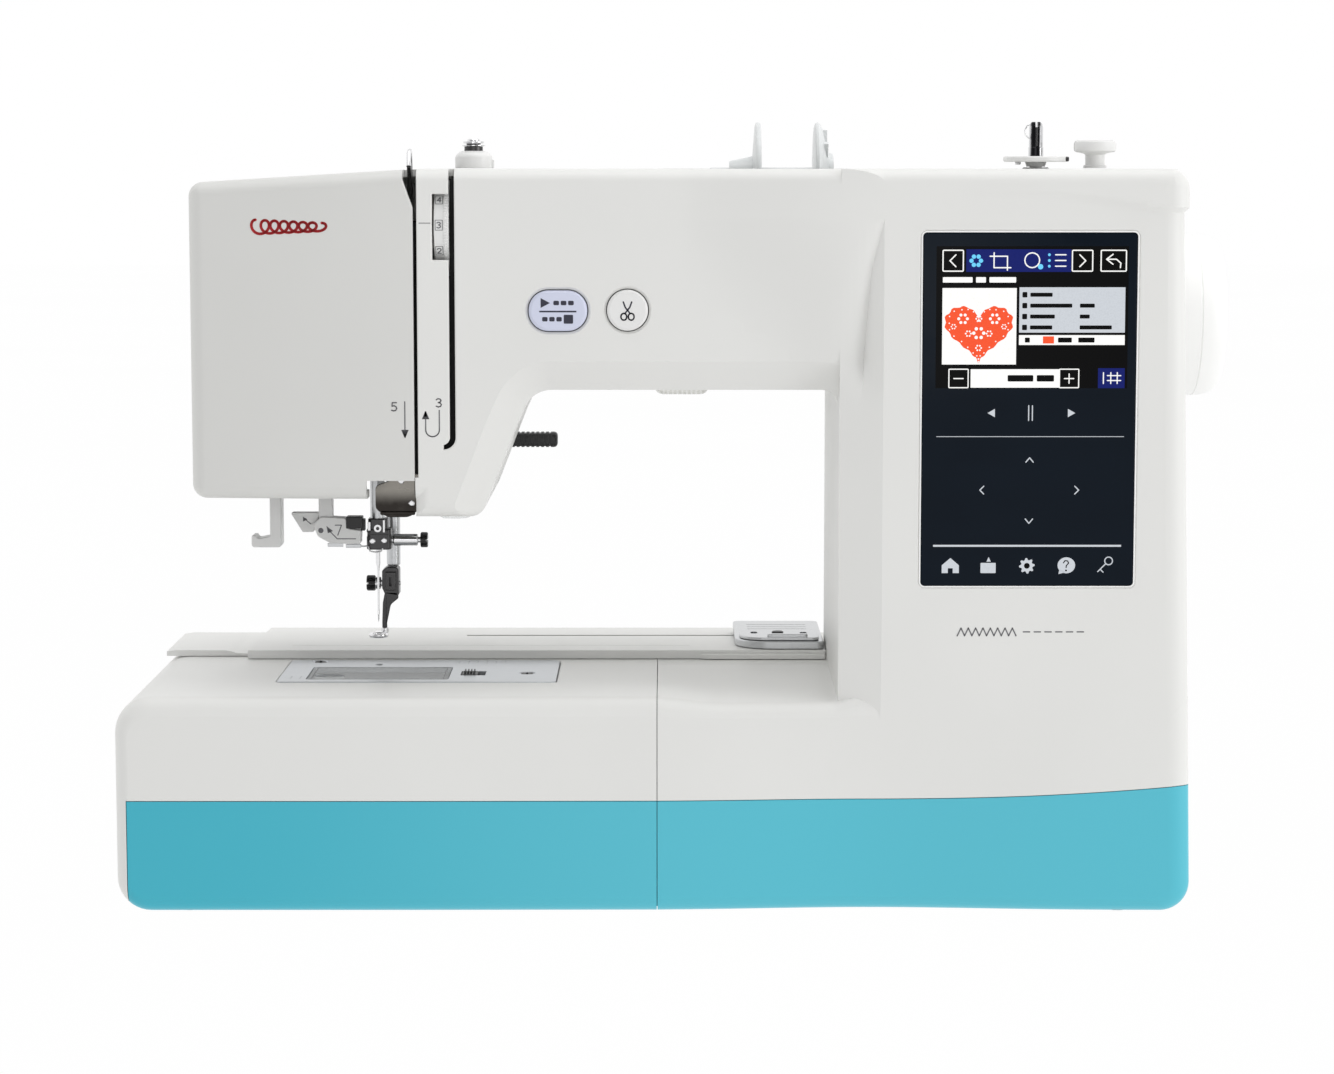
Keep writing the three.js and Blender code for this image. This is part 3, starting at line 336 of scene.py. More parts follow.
def round_corners(corners, radius, steps=6):
    """Corners of an outline, each turned into an arc. A corner may bring its own radius."""
    points = []
    for i, corner in enumerate(corners):
        here = Vector(corner[:2])
        own = corner[2] if len(corner) > 2 else radius
        first = (here - Vector(corners[i - 1][:2]))
        second = (Vector(corners[(i + 1) % len(corners)][:2]) - here)
        limit = 0.49 * min(first.length, second.length)
        first.normalize()
        second.normalize()
        turn = math.acos(max(-1, min(1, first.dot(second))))
        if own < 0.01 or turn < 0.01:
            points.append(tuple(here))
            continue
        reach = min(own * math.tan(turn / 2), limit)
        true_radius = reach / math.tan(turn / 2)
        side = 1 if first.x * second.y - first.y * second.x > 0 else -1
        normal = Vector((-first.y, first.x)) * side
        centre = here - first * reach + normal * true_radius
        for step in range(steps + 1):
            angle = side * turn * step / steps
            arm = -normal * true_radius
            points.append((centre.x + arm.x * math.cos(angle) - arm.y * math.sin(angle),
                           centre.y + arm.x * math.sin(angle) + arm.y * math.cos(angle)))
    return points


def rectangle(a0, a1, b0, b1, radius=0.0, steps=6):
    return round_corners([(a0, b0), (a1, b0), (a1, b1), (a0, b1)], radius, steps)


def turned(axis, centre, profile, sides=48):
    """A profile of (radius, place along the axis) turned about an axis. Closed if it starts off it."""
    cx, cy, cz = centre
    points = list(profile)
    closed = points[0][0] > 1e-6
    middle = placed(axis, 0, 0, 0)
    vertices, rings = [], []
    across = [slot for slot in AXES[axis][:2]]
    for radius, along in points:
        ring = []
        count = sides if radius > 1e-6 else 1
        for i in range(count):
            angle = 2 * math.pi * i / sides
            point = placed(axis, radius * math.cos(angle), radius * math.sin(angle), along)
            ring.append(len(vertices))
            vertices.append((point[0] + cx, point[1] + cy, point[2] + cz))
        rings.append(ring)
    pairs = list(zip(rings, rings[1:]))
    if closed:
        pairs.append((rings[-1], rings[0]))
    faces = []
    for low, high in pairs:
        for i in range(sides):
            j = (i + 1) % sides
            quad = [low[i % len(low)], low[j % len(low)], high[j % len(high)], high[i % len(high)]]
            face = list(dict.fromkeys(quad))
            if len(face) > 2:
                faces.append(face)
    return outward(mesh_from(vertices, faces))


def bar(axis, centre, radius, start, end, sides=48, chamfer=0.0):
    if chamfer:
        profile = [(0, start), (radius - chamfer, start), (radius, start + chamfer),
                   (radius, end - chamfer), (radius - chamfer, end), (0, end)]
    else:
        profile = [(0, start), (radius, start), (radius, end), (0, end)]
    return turned(axis, centre, profile, sides)


def block(x0, x1, y0, y1, z0, z1, rounding=0.0, segments=3):
    """A block, with its edges rounded if asked."""
    mesh = prism("z", [(x0, y0), (x1, y0), (x1, y1), (x0, y1)], z0, z1)
    return rounded(mesh, rounding, segments) if rounding else mesh


def rounded(mesh, width, segments=3, angle=30):
    """Rounds every edge sharper than the angle."""
    work = bmesh.new()
    work.from_mesh(mesh)
    sharp = [edge for edge in work.edges if edge.calc_face_angle(0) > math.radians(angle)]
    bmesh.ops.bevel(work, geom=sharp, offset=width, segments=segments, affect="EDGES",
                    profile=0.5, clamp_overlap=True)
    work.to_mesh(mesh)
    work.free()
    return mesh


def tube(points, radius, sides=12, closed=False):
    """A round wire along points, with flat ends, or closed into a loop."""
    places = [Vector(point) for point in points]
    sections = []
    side = None
    for i, place in enumerate(places):
        before = places[i - 1] if (i or closed) else place
        after = places[(i + 1) % len(places)] if (i + 1 < len(places) or closed) else place
        ahead = (after - before).normalized()
        if side is None:
            side = ahead.orthogonal()
        side = (side - ahead * side.dot(ahead)).normalized()
        other = ahead.cross(side)
        size = radius[i] if isinstance(radius, (list, tuple)) else radius
        sections.append([place + (side * math.cos(a) + other * math.sin(a)) * size
                         for a in (2 * math.pi * k / sides for k in range(sides))])
    return loft(sections)


def slab(axis, outline, start, end, lead=0.5, trail=0.5, steps=3):
    """An outline pushed along an axis, with rounded edges at its start and end."""
    way = 1 if end > start else -1
    rings = []
    for edge, base, inwards in ((lead, start, way), (trail, end, -way)):
        half = []
        for step in range(steps + 1 if edge else 1):
            angle = math.pi / 2 * step / steps
            inset = edge * (1 - math.sin(angle))
            along = base + inwards * edge * (1 - math.cos(angle))
            shape = grown(outline, -inset) if inset > 1e-6 else outline
            half.append([placed(axis, a, b, along) for a, b in shape])
        rings += half if base == start else half[::-1]
    return loft(rings)


def knurled(axis, centre, radius, start, end, teeth=36, depth=0.4, edge=0.4):
    """A grip turned about an axis, with teeth all round it."""
    first, second = AXES[axis][:2]
    rings = []
    for along, shrink in ((start, edge), (start + edge, 0), (end - edge, 0), (end, edge)):
        ring = []
        for i in range(teeth * 4):
            size = radius - shrink - (depth if i % 4 > 1 else 0)
            angle = math.pi / 2 * i / teeth
            point = placed(axis, size * math.cos(angle), size * math.sin(angle), along)
            point[first] += centre[first]
            point[second] += centre[second]
            ring.append(point)
        rings.append(ring)
    return loft(rings)


def screw(axis, centre, radius, seat, top, slots=1):
    """A screw head with a slot, or two crossed slots, in its top."""
    way = 1 if top > seat else -1
    head = turned(axis, centre, [(0, seat), (radius, seat), (radius, top - 0.4 * way), (radius - 0.35, top),
                                 (0, top)], 28)
    first, second = AXES[axis][:2]
    tools = []
    for turn in range(slots):
        half = [radius * (0.8 if slots > 1 else 1.2), radius * 0.16]
        if turn:
            half.reverse()
        low = placed(axis, -half[0], -half[1], top - radius * 0.3 * way)
        high = placed(axis, half[0], half[1], top + way)
        for point in (low, high):
            point[first] += centre[first]
            point[second] += centre[second]
        ends = [sorted(pair) for pair in zip(low, high)]
        tools.append(block(*ends[0], *ends[1], *ends[2]))
    return cut(head, *tools)


def finely(line, step):
    """A polyline with points added so that none are further apart than the step."""
    points = [Vector(line[0])]
    for end in line[1:]:
        start, end = points[-1], Vector(end)
        count = max(1, math.ceil((end - start).length / step))
        points += [start.lerp(end, i / count) for i in range(1, count + 1)]
    return points


def marks(lines, width, place, step=None):
    """Printed lines: flat strokes along each polyline. The place rule puts (a, b) on a surface.

    A step splits long strokes, for surfaces that curve.
    """
    vertices, faces = [], []
    if step:
        lines = [finely(line, step) for line in lines]

    def add(points):
        faces.append(tuple(range(len(vertices), len(vertices) + len(points))))
        vertices.extend(place(a, b) for a, b in points)

    for line in lines:
        for start, end in zip(line, line[1:]):
            start, end = Vector(start), Vector(end)
            ahead = (end - start).normalized() * (width / 2)
            side = Vector((-ahead.y, ahead.x))
            add([start - side, end - side, end + side, start + side])
        for point in line:
            add(oval(point[0], point[1], width / 2, width / 2, 10))
    return mesh_from(vertices, faces)


def patches(shapes, place):
    """Printed areas: one flat face for each outline."""
    vertices, faces = [], []
    for shape in shapes:
        faces.append(tuple(range(len(vertices), len(vertices) + len(shape))))
        vertices.extend(place(a, b) for a, b in shape)
    return mesh_from(vertices, faces)


def moved_shape(shape, a, b, size=1.0):
    return [(a + x * size, b + y * size) for x, y in shape]


DIGITS = {
    "2": [(0, 1.3), (0.15, 1.5), (0.5, 1.6), (0.85, 1.5), (1, 1.2), (0.85, 0.85), (0, 0), (1, 0)],
    "3": [(0, 1.4), (0.3, 1.6), (0.75, 1.55), (0.95, 1.25), (0.75, 0.95), (0.4, 0.85), (0.75, 0.78), (1, 0.45),
          (0.8, 0.1), (0.4, 0), (0, 0.15)],
    "4": [(0.75, 0), (0.75, 1.6), (0, 0.5), (1, 0.5)],
    "5": [(0.95, 1.6), (0.15, 1.6), (0.1, 0.9), (0.5, 1.0), (0.9, 0.8), (1, 0.45), (0.8, 0.1), (0.4, 0), (0, 0.12)],
    "7": [(0, 1.6), (1, 1.6), (0.4, 0)]}


def solid_sum(mesh, others, operation="UNION", solver="MANIFOLD"):
    """Joins, cuts or intersects closed meshes with each other."""
    scene = bpy.context.scene.collection
    body = bpy.data.objects.new("work", mesh)
    scene.objects.link(body)
    tools = []
    for other in others:
        tool = bpy.data.objects.new("tool", other)
        scene.objects.link(tool)
        tools.append(tool)
        step = body.modifiers.new("step", "BOOLEAN")
        step.operation = operation
        step.solver = solver
        step.object = tool
    ready = body.evaluated_get(bpy.context.evaluated_depsgraph_get())
    result = bpy.data.meshes.new_from_object(ready)
    for leftover in [body, *tools]:
        bpy.data.objects.remove(leftover)
    return result


def join(mesh, *others):
    return solid_sum(mesh, others)


def cut(mesh, *others):
    return solid_sum(mesh, others, "DIFFERENCE")


def common(mesh, *others):
    return solid_sum(mesh, others, "INTERSECT")


def together(*meshes):
    """Several separate closed shapes in one mesh."""
    work = bmesh.new()
    for mesh in meshes:
        work.from_mesh(mesh)
    result = bpy.data.meshes.new("work")
    work.to_mesh(result)
    work.free()
    return result


def turned_by(mesh, degrees, axis, about):
    """The mesh, turned about a point."""
    move = Matrix.Translation(Vector(about)) @ Matrix.Rotation(math.radians(degrees), 4, axis)
    mesh.transform(move @ Matrix.Translation(-Vector(about)))
    return mesh


def bent(mesh, rule):
    """The mesh with every point moved by a rule that takes and gives a vector."""
    for vertex in mesh.vertices:
        vertex.co = rule(vertex.co)
    mesh.update()
    return mesh


def sliced(mesh, planes):
    """Adds points where planes, each (point, normal), cross the mesh, so that it can bend there."""
    work = bmesh.new()
    work.from_mesh(mesh)
    for point, normal in planes:
        geometry = work.verts[:] + work.edges[:] + work.faces[:]
        bmesh.ops.bisect_plane(work, geom=geometry, plane_co=Vector(point), plane_no=Vector(normal), dist=1e-4)
    work.to_mesh(mesh)
    work.free()
    return mesh


def show(name, mesh, material, body="root", instead_of=(), smooth=32, rounding=0.0):
    """Places a finished mesh as a piece that rides on a body of the frame."""
    mesh.transform(Matrix.Scale(MM, 4))
    mesh.name = name
    mesh.materials.clear()
    mesh.materials.append(material)
    piece = bpy.data.objects.new(name, mesh)
    bpy.context.scene.collection.objects.link(piece)
    for face in mesh.polygons:
        face.use_smooth = True
        face.material_index = 0
    if rounding:
        soft = piece.modifiers.new("rounding", "BEVEL")
        soft.width = rounding * MM
        soft.segments = 3
        soft.limit_method = "ANGLE"
        soft.angle_limit = math.radians(smooth)
        soft.use_clamp_overlap = True
    else:
        mesh.set_sharp_from_angle(angle=math.radians(smooth))
    even = piece.modifiers.new("even_normals", "WEIGHTED_NORMAL")
    even.keep_sharp = True
    even.weight = 80
    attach(piece, body)
    if instead_of:
        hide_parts(*instead_of)
    return piece


def keep(node, material, rounding=0.3):
    """A frame node that stays as it is, with soft edges and a finish of its own."""
    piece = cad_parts[node]
    mesh = piece.data
    if "custom_normal" in mesh.attributes:
        mesh.attributes.remove(mesh.attributes["custom_normal"])
    for face in mesh.polygons:
        face.use_smooth = True
    mesh.materials.clear()
    mesh.materials.append(material)
    weld = piece.modifiers.new("weld", "WELD")
    weld.merge_threshold = 1e-6
    if rounding:
        soft = piece.modifiers.new("rounding", "BEVEL")
        soft.width = rounding * MM
        soft.segments = 3
        soft.limit_method = "ANGLE"
        soft.angle_limit = math.radians(28)
    piece.modifiers.new("even_normals", "WEIGHTED_NORMAL")
    return piece


# ------------------------------------------------------------------ casings
def inset_outline(corners, wall, rounding, hollow, steps):
    """A casing's outline moved inwards. Each corner is (x, z, radius, edge, chamfered)."""
    sides = []
    for i, corner in enumerate(corners):
        after = corners[(i + 1) % len(corners)]
        ahead = Vector((after[0] - corner[0], after[1] - corner[1])).normalized()
        edge = corner[3] if len(corner) > 3 else 1
        chamfer = len(corner) > 4
        depth = wall + edge * (hollow if chamfer else rounding)
        sides.append((ahead, Vector((-ahead.y, ahead.x)), depth))
    points = []
    for i, corner in enumerate(corners):
        first, inward_first, depth_first = sides[i - 1]
        second, inward_second, depth_second = sides[i]
        turn = first.x * second.y - first.y * second.x
        here = Vector(corner[:2])
        if abs(turn) < 0.02:
            points.append(here + inward_second * (depth_first + depth_second) / 2)
            continue
        here.x += (depth_first * inward_second.y - depth_second * inward_first.y) / turn
        here.y += (inward_first.x * depth_second - inward_second.x * depth_first) / turn
        if not corner[2]:
            points.append(here)
            continue
        side = 1 if turn > 0 else -1
        angle = math.acos(max(-1, min(1, first.dot(second))))
        radius = max(corner[2] - side * (depth_first + depth_second) / 2, 0.4)
        centre = here - first * radius * math.tan(angle / 2) + inward_first * side * radius
        arm = inward_first * -side * radius
        for step in range(steps + 1):
            a = side * angle * step / steps
            points.append(centre + Vector((arm.x * math.cos(a) - arm.y * math.sin(a),
                                           arm.x * math.sin(a) + arm.y * math.cos(a))))
    return points


def casing(corners, y0, y1, wall=0.0, edge=EDGE, steps=10, rings=8):
    """A casing block: its outline from front to rear, with rounded front and rear edges."""
    depth = max(edge - wall, 0.5)
    halves = []
    for start, inwards in ((y0 + wall, 1), (y1 - wall, -1)):
        half = []
        for ring in range(rings + 1):
            angle = math.pi / 2 * ring / rings
            rounding = depth * (1 - math.sin(angle))
            hollow = depth * math.cos(angle)
            y = start + inwards * depth * (1 - math.cos(angle))
            outline = inset_outline(corners, wall, rounding, hollow, steps)
            half.append([(point.x, y, point.y) for point in outline])
        halves.append(half if inwards > 0 else half[::-1])
    return loft(halves[0] + halves[1])


base_outline = [
    (LEFT, FLOOR, 14), (RIGHT + 1, FLOOR, 12, 1.6), (RIGHT - 1, BED_TOP, 0, 1.6), (LEFT, BED_TOP, 15)]
column_outline = [
    (THROAT, FLOOR, 0), (RIGHT + 1, FLOOR, 12, 1.6), (RIGHT - COLUMN_TAPER, ARM_TOP, 8),
    (THROAT, ARM_TOP, 0, 2.9, "chamfer")]
arm_outline = [
    (HEAD_LEFT, HEAD_BOTTOM, 6), (FACE_RIGHT, HEAD_BOTTOM, 0), (FACE_RIGHT, NOSE_BOTTOM, 0),
    (NOSE_RIGHT - 1.5, NOSE_BOTTOM, 7, 2, "chamfer"), (NOSE_RIGHT + 12, ARM_UNDERSIDE - 17.4, 24, 2, "chamfer"),
    (HARP_LEFT - 2.6, ARM_UNDERSIDE, 12, 2, "chamfer"), (THROAT, ARM_UNDERSIDE, 7, 2, "chamfer"),
    (THROAT, BED_TOP - 40, 0), (RIGHT - WALL, BED_TOP - 40, 0),
    (RIGHT - COLUMN_TAPER - WALL, ARM_TOP, 0), (FACE_RIGHT, ARM_TOP, 0), (HEAD_LEFT, ARM_TOP - 5.6, 6)]
FAR = 500             # reach of a cutting block, past every casing
CLEARANCE = 0.3       # between parts that lie or slide side by side
BELOW = -10           # under the casings' lower rims
COVER_SPLIT = BED_TOP + 30   # height that parts the bed's cover from the head's


def opening(axis, outline, surface, inwards, deep, rim=0.8):
    """A cutting block for an opening, flared at the surface so that its rim is chamfered."""
    places = [(surface - 2 * inwards, rim + 2), (surface + rim * inwards, 0), (surface + deep * inwards, 0)]
    rings = []
    for along, grow in places:
        shape = grown(outline, grow) if grow else outline
        rings.append([placed(axis, a, b, along) for a, b in shape])
    return loft(rings)


def box_outline(node, axis, grow=CLEARANCE, radius=1.0):
    """The outline of a frame node's box across an axis, slightly larger than the node."""
    low, high = span(node)
    first, second = AXES[axis][:2]
    return rectangle(low[first] - grow, high[first] + grow, low[second] - grow, high[second] + grow, radius)


def centre_of(node):
    low, high = span(node)
    return (low + high) / 2


DIAL_X = span("tension_dial")[0].x - 0.6
SLOT_RIGHT = DIAL_X + 9.1
SLOT_LEFT = SLOT_RIGHT - 2.4
DIAL_Z = centre_of("tension_dial").z
START = centre_of("start_stop_button")
CUTTER = centre_of("cutter_button")
WINDER = centre_of("winder_spindle")
INLET = centre_of("power_inlet")
SWITCH = centre_of("power_switch")
handle_low, handle_high = span("carry_handle")
HANDLE_ARM = 10
HANDLE_PIVOT_Y = handle_low.y + 4


def thread_slot():
    """The right thread slot, which hooks to the left at its lower end."""
    low = NOSE_BOTTOM + 32
    turn = [(SLOT_RIGHT - 5 + 5 * math.cos(a), low + 1 - 5 * math.sin(a)) for a in
            (math.radians(angle) for angle in range(0, 91, 10))]
    inner = [(SLOT_RIGHT - 5.5 + 3.1 * math.cos(a), low + 1 - 3.1 * math.sin(a)) for a in
             (math.radians(angle) for angle in range(80, -1, -10))]
    return [(SLOT_RIGHT, ARM_TOP + 5), *turn, *inner, (SLOT_LEFT, ARM_TOP + 5)]


def shell_openings():
    front_face = {"axis": "y", "surface": ARM_FRONT, "inwards": 1}
    lever_slot = [(FACE_RIGHT - 4.4, ARM_TOP + 5), (FACE_RIGHT - 4.4, ARM_TOP - 4), (FACE_RIGHT, ARM_TOP - 16),
                  (FACE_RIGHT + 1.4, ARM_TOP - 16), (FACE_RIGHT + 1.4, ARM_TOP + 5)]
    lower_slot = [(FACE_RIGHT, NOSE_BOTTOM + 16.5), (FACE_RIGHT + 1.4, NOSE_BOTTOM + 16.5),
                  (FACE_RIGHT + 1.4, ARM_TOP + 5), (FACE_RIGHT, ARM_TOP + 5)]
    shaft = centre_of("handwheel")
    side = RIGHT - COLUMN_TAPER * 0.1
    return [
        opening("z", box_outline("top_cover", "z", radius=3), ARM_TOP, -1, 12),
        opening("y", box_outline("display_glass", "y", 0.2, 2.0), FRONT, 1, 9, 1.1),
        opening(outline=rectangle(DIAL_X, SLOT_RIGHT - 1, DIAL_Z - 13.4, DIAL_Z + 13.4, 0.4), deep=12, rim=0.5,
                **front_face),
        opening(outline=thread_slot(), deep=45, rim=0.5, **front_face),
        opening(outline=lower_slot, deep=45, rim=0.4, **front_face),
        block(FACE_RIGHT - 8.2, FACE_RIGHT + 1.4, ARM_FRONT + 14, ARM_FRONT + 74, ARM_TOP - 20, ARM_TOP + 5),
        opening(outline=lever_slot, deep=20, rim=0.5, **front_face),
        opening(outline=rectangle(START.x - 12.4, START.x + 12.4, START.z - 8.7, START.z + 8.7, 8.5, 12),
                deep=9, rim=1.0, **front_face),
        opening(outline=oval(CUTTER.x, CUTTER.z, 8.8, 8.8), deep=9, rim=1.0, **front_face),
        block(HEAD_LEFT + 12, FACE_RIGHT - 0.3, ARM_FRONT + 16, ARM_REAR - 12, HEAD_BOTTOM - 5, HEAD_BOTTOM + 9),
        block(FACE_RIGHT - 20.1, FACE_RIGHT, ARM_FRONT - 5, ARM_FRONT + 17, HEAD_BOTTOM - 5, HEAD_BOTTOM + 8),
        opening("z", box_outline("needle_plate", "z", 0.3, 3.2), BED_TOP, -1, 8, 0.5),
        bar("x", (0, shaft.y, shaft.z), 9, RIGHT - 20, RIGHT + 20),
        opening("z", rectangle(WINDER.x - 7, WINDER.x + 13, WINDER.y - 7, WINDER.y + 7, 6.9), ARM_TOP, -1, 10, 0.5),
        opening("x", rectangle(INLET.y - 14.5, INLET.y + 14.5, INLET.z - 11.5, INLET.z + 11.5, 2), side, -1, 20),
        opening("x", rectangle(SWITCH.y - 8, SWITCH.y + 8, SWITCH.z - 11.5, SWITCH.z + 11.5, 1), side, -1, 20)]


def handle_pocket(margin):
    """Pockets that take the folded handle's two arms."""
    depth = 11.2 + margin
    y0 = HANDLE_PIVOT_Y - 7 - margin
    arms = [(handle_low.x, handle_low.x + HANDLE_ARM), (handle_high.x - HANDLE_ARM, handle_high.x)]
    return [block(x0 - 1 - margin, x1 + 1 + margin, y0, ARM_REAR + 20, ARM_TOP - depth, ARM_TOP + 20)
            for x0, x1 in arms]


def vent_slots():
    """Air slots in the column's rear wall."""
    slots = []
    for i in range(9):
        x = THROAT + 34 + i * 8.5
        slots.append(prism("y", rectangle(x - 1.6, x + 1.6, 206, 244, 1.5), ARM_REAR - 7, ARM_REAR + 3))
    return slots


def make_shell():
    outer = join(casing(base_outline, FRONT, REAR), casing(column_outline, FRONT, ARM_REAR),
                 casing(arm_outline, ARM_FRONT, ARM_REAR))
    hollow = {"wall": WALL, "rings": 1, "steps": 3}
    inside = join(casing(base_outline, FRONT, REAR, **hollow), casing(column_outline, FRONT, ARM_REAR, **hollow),
                  casing(arm_outline, ARM_FRONT, ARM_REAR, **hollow),
                  block(LEFT + 20, RIGHT - 20, FRONT + 12, REAR - 12, FLOOR - 1, FLOOR + 20))
    inside = cut(inside, *handle_pocket(WALL))
    return cut(outer, inside, *handle_pocket(0), *vent_slots(), *shell_openings())


def band_region(grow):
    """The lower front of the base and round its right side, where the coloured band is."""
    outline = [(SEAM, FLOOR - 5), (RIGHT + 20, FLOOR - 5), (RIGHT + 20, BAND_TOP + BAND_RISE + grow)]
    for step in range(1, 25):
        amount = 1 - step / 24
        outline.append((RIGHT - 130 * (1 - amount), BAND_TOP + BAND_RISE * amount ** 1.8 + grow))
    outline.append((SEAM, BAND_TOP + grow))
    left_part = block(LEFT + 5 - grow, SEAM + 1, FRONT - 5, FRONT + 30 + grow, FLOOR - 5, BAND_TOP + grow)
    return join(prism("y", outline, FRONT - 5, SPLIT_Y - CLEARANCE + grow), left_part)


def smooth_step(low, high, value):
    amount = max(0.0, min(1.0, (value - low) / (high - low)))
    return amount * amount * (3 - 2 * amount)


WAIST_X = THROAT + 14
RIDGE_X = THROAT + 2.9 * EDGE
CAP_Z = ARM_TOP - 17.5
CREASE = [(THROAT + 9, ARM_UNDERSIDE), (THROAT + 11, ARM_UNDERSIDE + 30), (THROAT + 12.6, ARM_UNDERSIDE + 50),
          (RIDGE_X, ARM_UNDERSIDE + 70)]


def face_curve(x):
    """How far the head's front falls back towards its left side."""
    return 5.5 * ((FACE_RIGHT - x) / (FACE_RIGHT - HEAD_LEFT)) ** 2


def column_face(x):
    """The column's front before the curves: flat, with a wide chamfer on its left."""
    return FRONT + EDGE * max(0, 1 - (x - THROAT) / (RIDGE_X - THROAT))


def crease_at(z):
    """Where the arm's front meets the column, and how far forward it is there."""
    amount = max(0, min(1, (z - CREASE[0][1]) / (CREASE[-1][1] - CREASE[0][1])))
    for (x0, z0), (x1, z1) in zip(CREASE, CREASE[1:]):
        if z < z1:
            return x0 + (x1 - x0) * max(0, (z - z0) / (z1 - z0)), ARM_FRONT + (FRONT - ARM_FRONT) * amount
    return RIDGE_X, FRONT


def blended_face(x, z):
    """The arm's front, which swells towards the column and then dips into the crease."""
    crease, depth = crease_at(z)
    if x >= crease:
        return FRONT + (depth - FRONT) * (RIDGE_X - x) / max(RIDGE_X - crease, 0.01)
    amount = (depth - ARM_FRONT) / (FRONT - ARM_FRONT)
    away = crease - x
    swell = 3.6 * (1 - amount) ** 0.5 * away / 9 * math.exp(1 - away / 9)
    return ARM_FRONT + (depth - ARM_FRONT) * (1 - smooth_step(0, 26 + 74 * amount, away)) - swell


def casing_flow(point):
    """The moulded casings' soft curves: waist, blended arm face, sloped bed and column cap."""
    x, y, z = point
    moved = Vector(point)
    near_front = 1 - smooth_step(FRONT + 8, FRONT + 70, y)
    waist = math.exp(-((x - WAIST_X) / 62) ** 2) * (1 - smooth_step(60, 118, z))
    moved.y += 5.5 * waist * near_front
    if x > SEAM - 1:
        slope = smooth_step(-3, FRONT, y) * smooth_step(BED_TOP - 12, BED_TOP - 1, z) * (z < BED_TOP + 1)
        moved.z -= 2.6 * slope * (1 - smooth_step(THROAT - 2, THROAT + 8, x)) * smooth_step(SEAM - 1, SEAM + 24, x)
    if z > ARM_UNDERSIDE - 2 and x < RIDGE_X:
        surface = ARM_FRONT if x < THROAT - 0.01 else column_face(x)
        if abs(x - THROAT) < 0.01:
            surface = max(surface, min(y, ARM_FRONT))
        reach = smooth_step(ARM_UNDERSIDE - 2, ARM_UNDERSIDE + 16, z)
        fade = 1 - smooth_step(surface + 6, surface + 36, y)
        moved.y += (blended_face(x, z) - surface) * reach * fade
    if z > CAP_Z - 4:
        crease = CAP_Z + 6.5 * (1 - smooth_step(RIGHT - 62, RIGHT - 10, x))
        edge = smooth_step(crease, crease + 2, z)
        moved.x += 2.0 * edge * smooth_step(RIGHT - 24, RIGHT - COLUMN_TAPER - 6, x)
        out = smooth_step(RIGHT - 100, RIGHT - 20, x)
        moved.y -= 1.3 * edge * out * (1 - smooth_step(FRONT, FRONT + 40, y))
    if x < FACE_RIGHT:
        moved.y += face_curve(x) * (1 - smooth_step(ARM_FRONT + 8, ARM_FRONT + 60, y)) * (z > HEAD_BOTTOM - 1)
    return moved


def grid_planes():
    """Planes that give the casings enough points to curve."""
    planes = [((x, 0, 0), (1, 0, 0)) for x in range(int(SEAM) + 8, int(RIGHT) - 4, 9)]
    planes += [((x, 0, 0), (1, 0, 0)) for x in range(int(HEAD_LEFT) + 7, int(FACE_RIGHT) - 4, 8)]
    planes += [((RIDGE_X - i * 1.5, 0, 0), (1, 0, 0)) for i in range(26)]
    planes += [((x0, 0, z0), (z1 - z0, 0, x0 - x1)) for (x0, z0), (x1, z1) in zip(CREASE, CREASE[1:])]
    planes += [((0, 0, z), (0, 0, 1)) for z in (60, 72, 80, 84, 88, 100, 112, 124)]
    planes += [((0, 0, z), (0, 0, 1)) for z in range(int(ARM_UNDERSIDE) - 12, int(CAP_Z) - 4, 5)]
    planes += [((0, 0, CAP_Z - 3 + i), (0, 0, 1)) for i in range(14)]
    planes += [((0, y, 0), (0, 1, 0)) for y in range(-92, 0, 10)]
    return planes


def make_casings():
    shell = make_shell()
    seam_left = block(-FAR, SEAM - HALF_GAP, -FAR, FAR, BELOW, COVER_SPLIT)
    seam_right = block(SEAM + HALF_GAP, FAR, -FAR, FAR, BELOW, FAR)
    face_side = block(-FAR, FACE_RIGHT - HALF_GAP, -FAR, FAR, COVER_SPLIT, FAR)
    main_side = join(block(FACE_RIGHT + HALF_GAP, FAR, -FAR, FAR, COVER_SPLIT, FAR),
                     block(SEAM + HALF_GAP, FAR, -FAR, FAR, BELOW, COVER_SPLIT + 1))
    bands = common(shell, band_region(0))
    painted = cut(shell, band_region(CLEARANCE))
    pieces = {
        "bed_band_left": (common(bands, seam_left), band_paint),
        "bed_band_right": (common(bands, seam_right), band_paint),
        "bed_cover": (common(painted, seam_left), casing_white),
        # The face cover takes the darker white of painted shade.
        "face_cover": (common(painted, face_side), shaded_head_white),
        "front_cover": (common(painted, main_side, block(-FAR, FAR, -FAR, SPLIT_Y - HALF_GAP, -10, FAR)),
                        casing_white),
        "rear_cover": (common(painted, main_side, block(-FAR, FAR, SPLIT_Y + HALF_GAP, FAR, -10, FAR)),
                       casing_white)}
    planes = grid_planes()
    for node, (mesh, material) in pieces.items():
        mesh = bent(sliced(mesh, planes), casing_flow)
        show(node.replace("cover", "moulding").replace("bed_band", "band"), mesh, material,
             instead_of=[node], smooth=21)


make_casings()

# ------------------------------------------------------------------ head: dial, buttons, marks
def on_front(depth):
    """Puts printed marks on a plane that faces the user."""
    return lambda a, b: (a, depth, b)


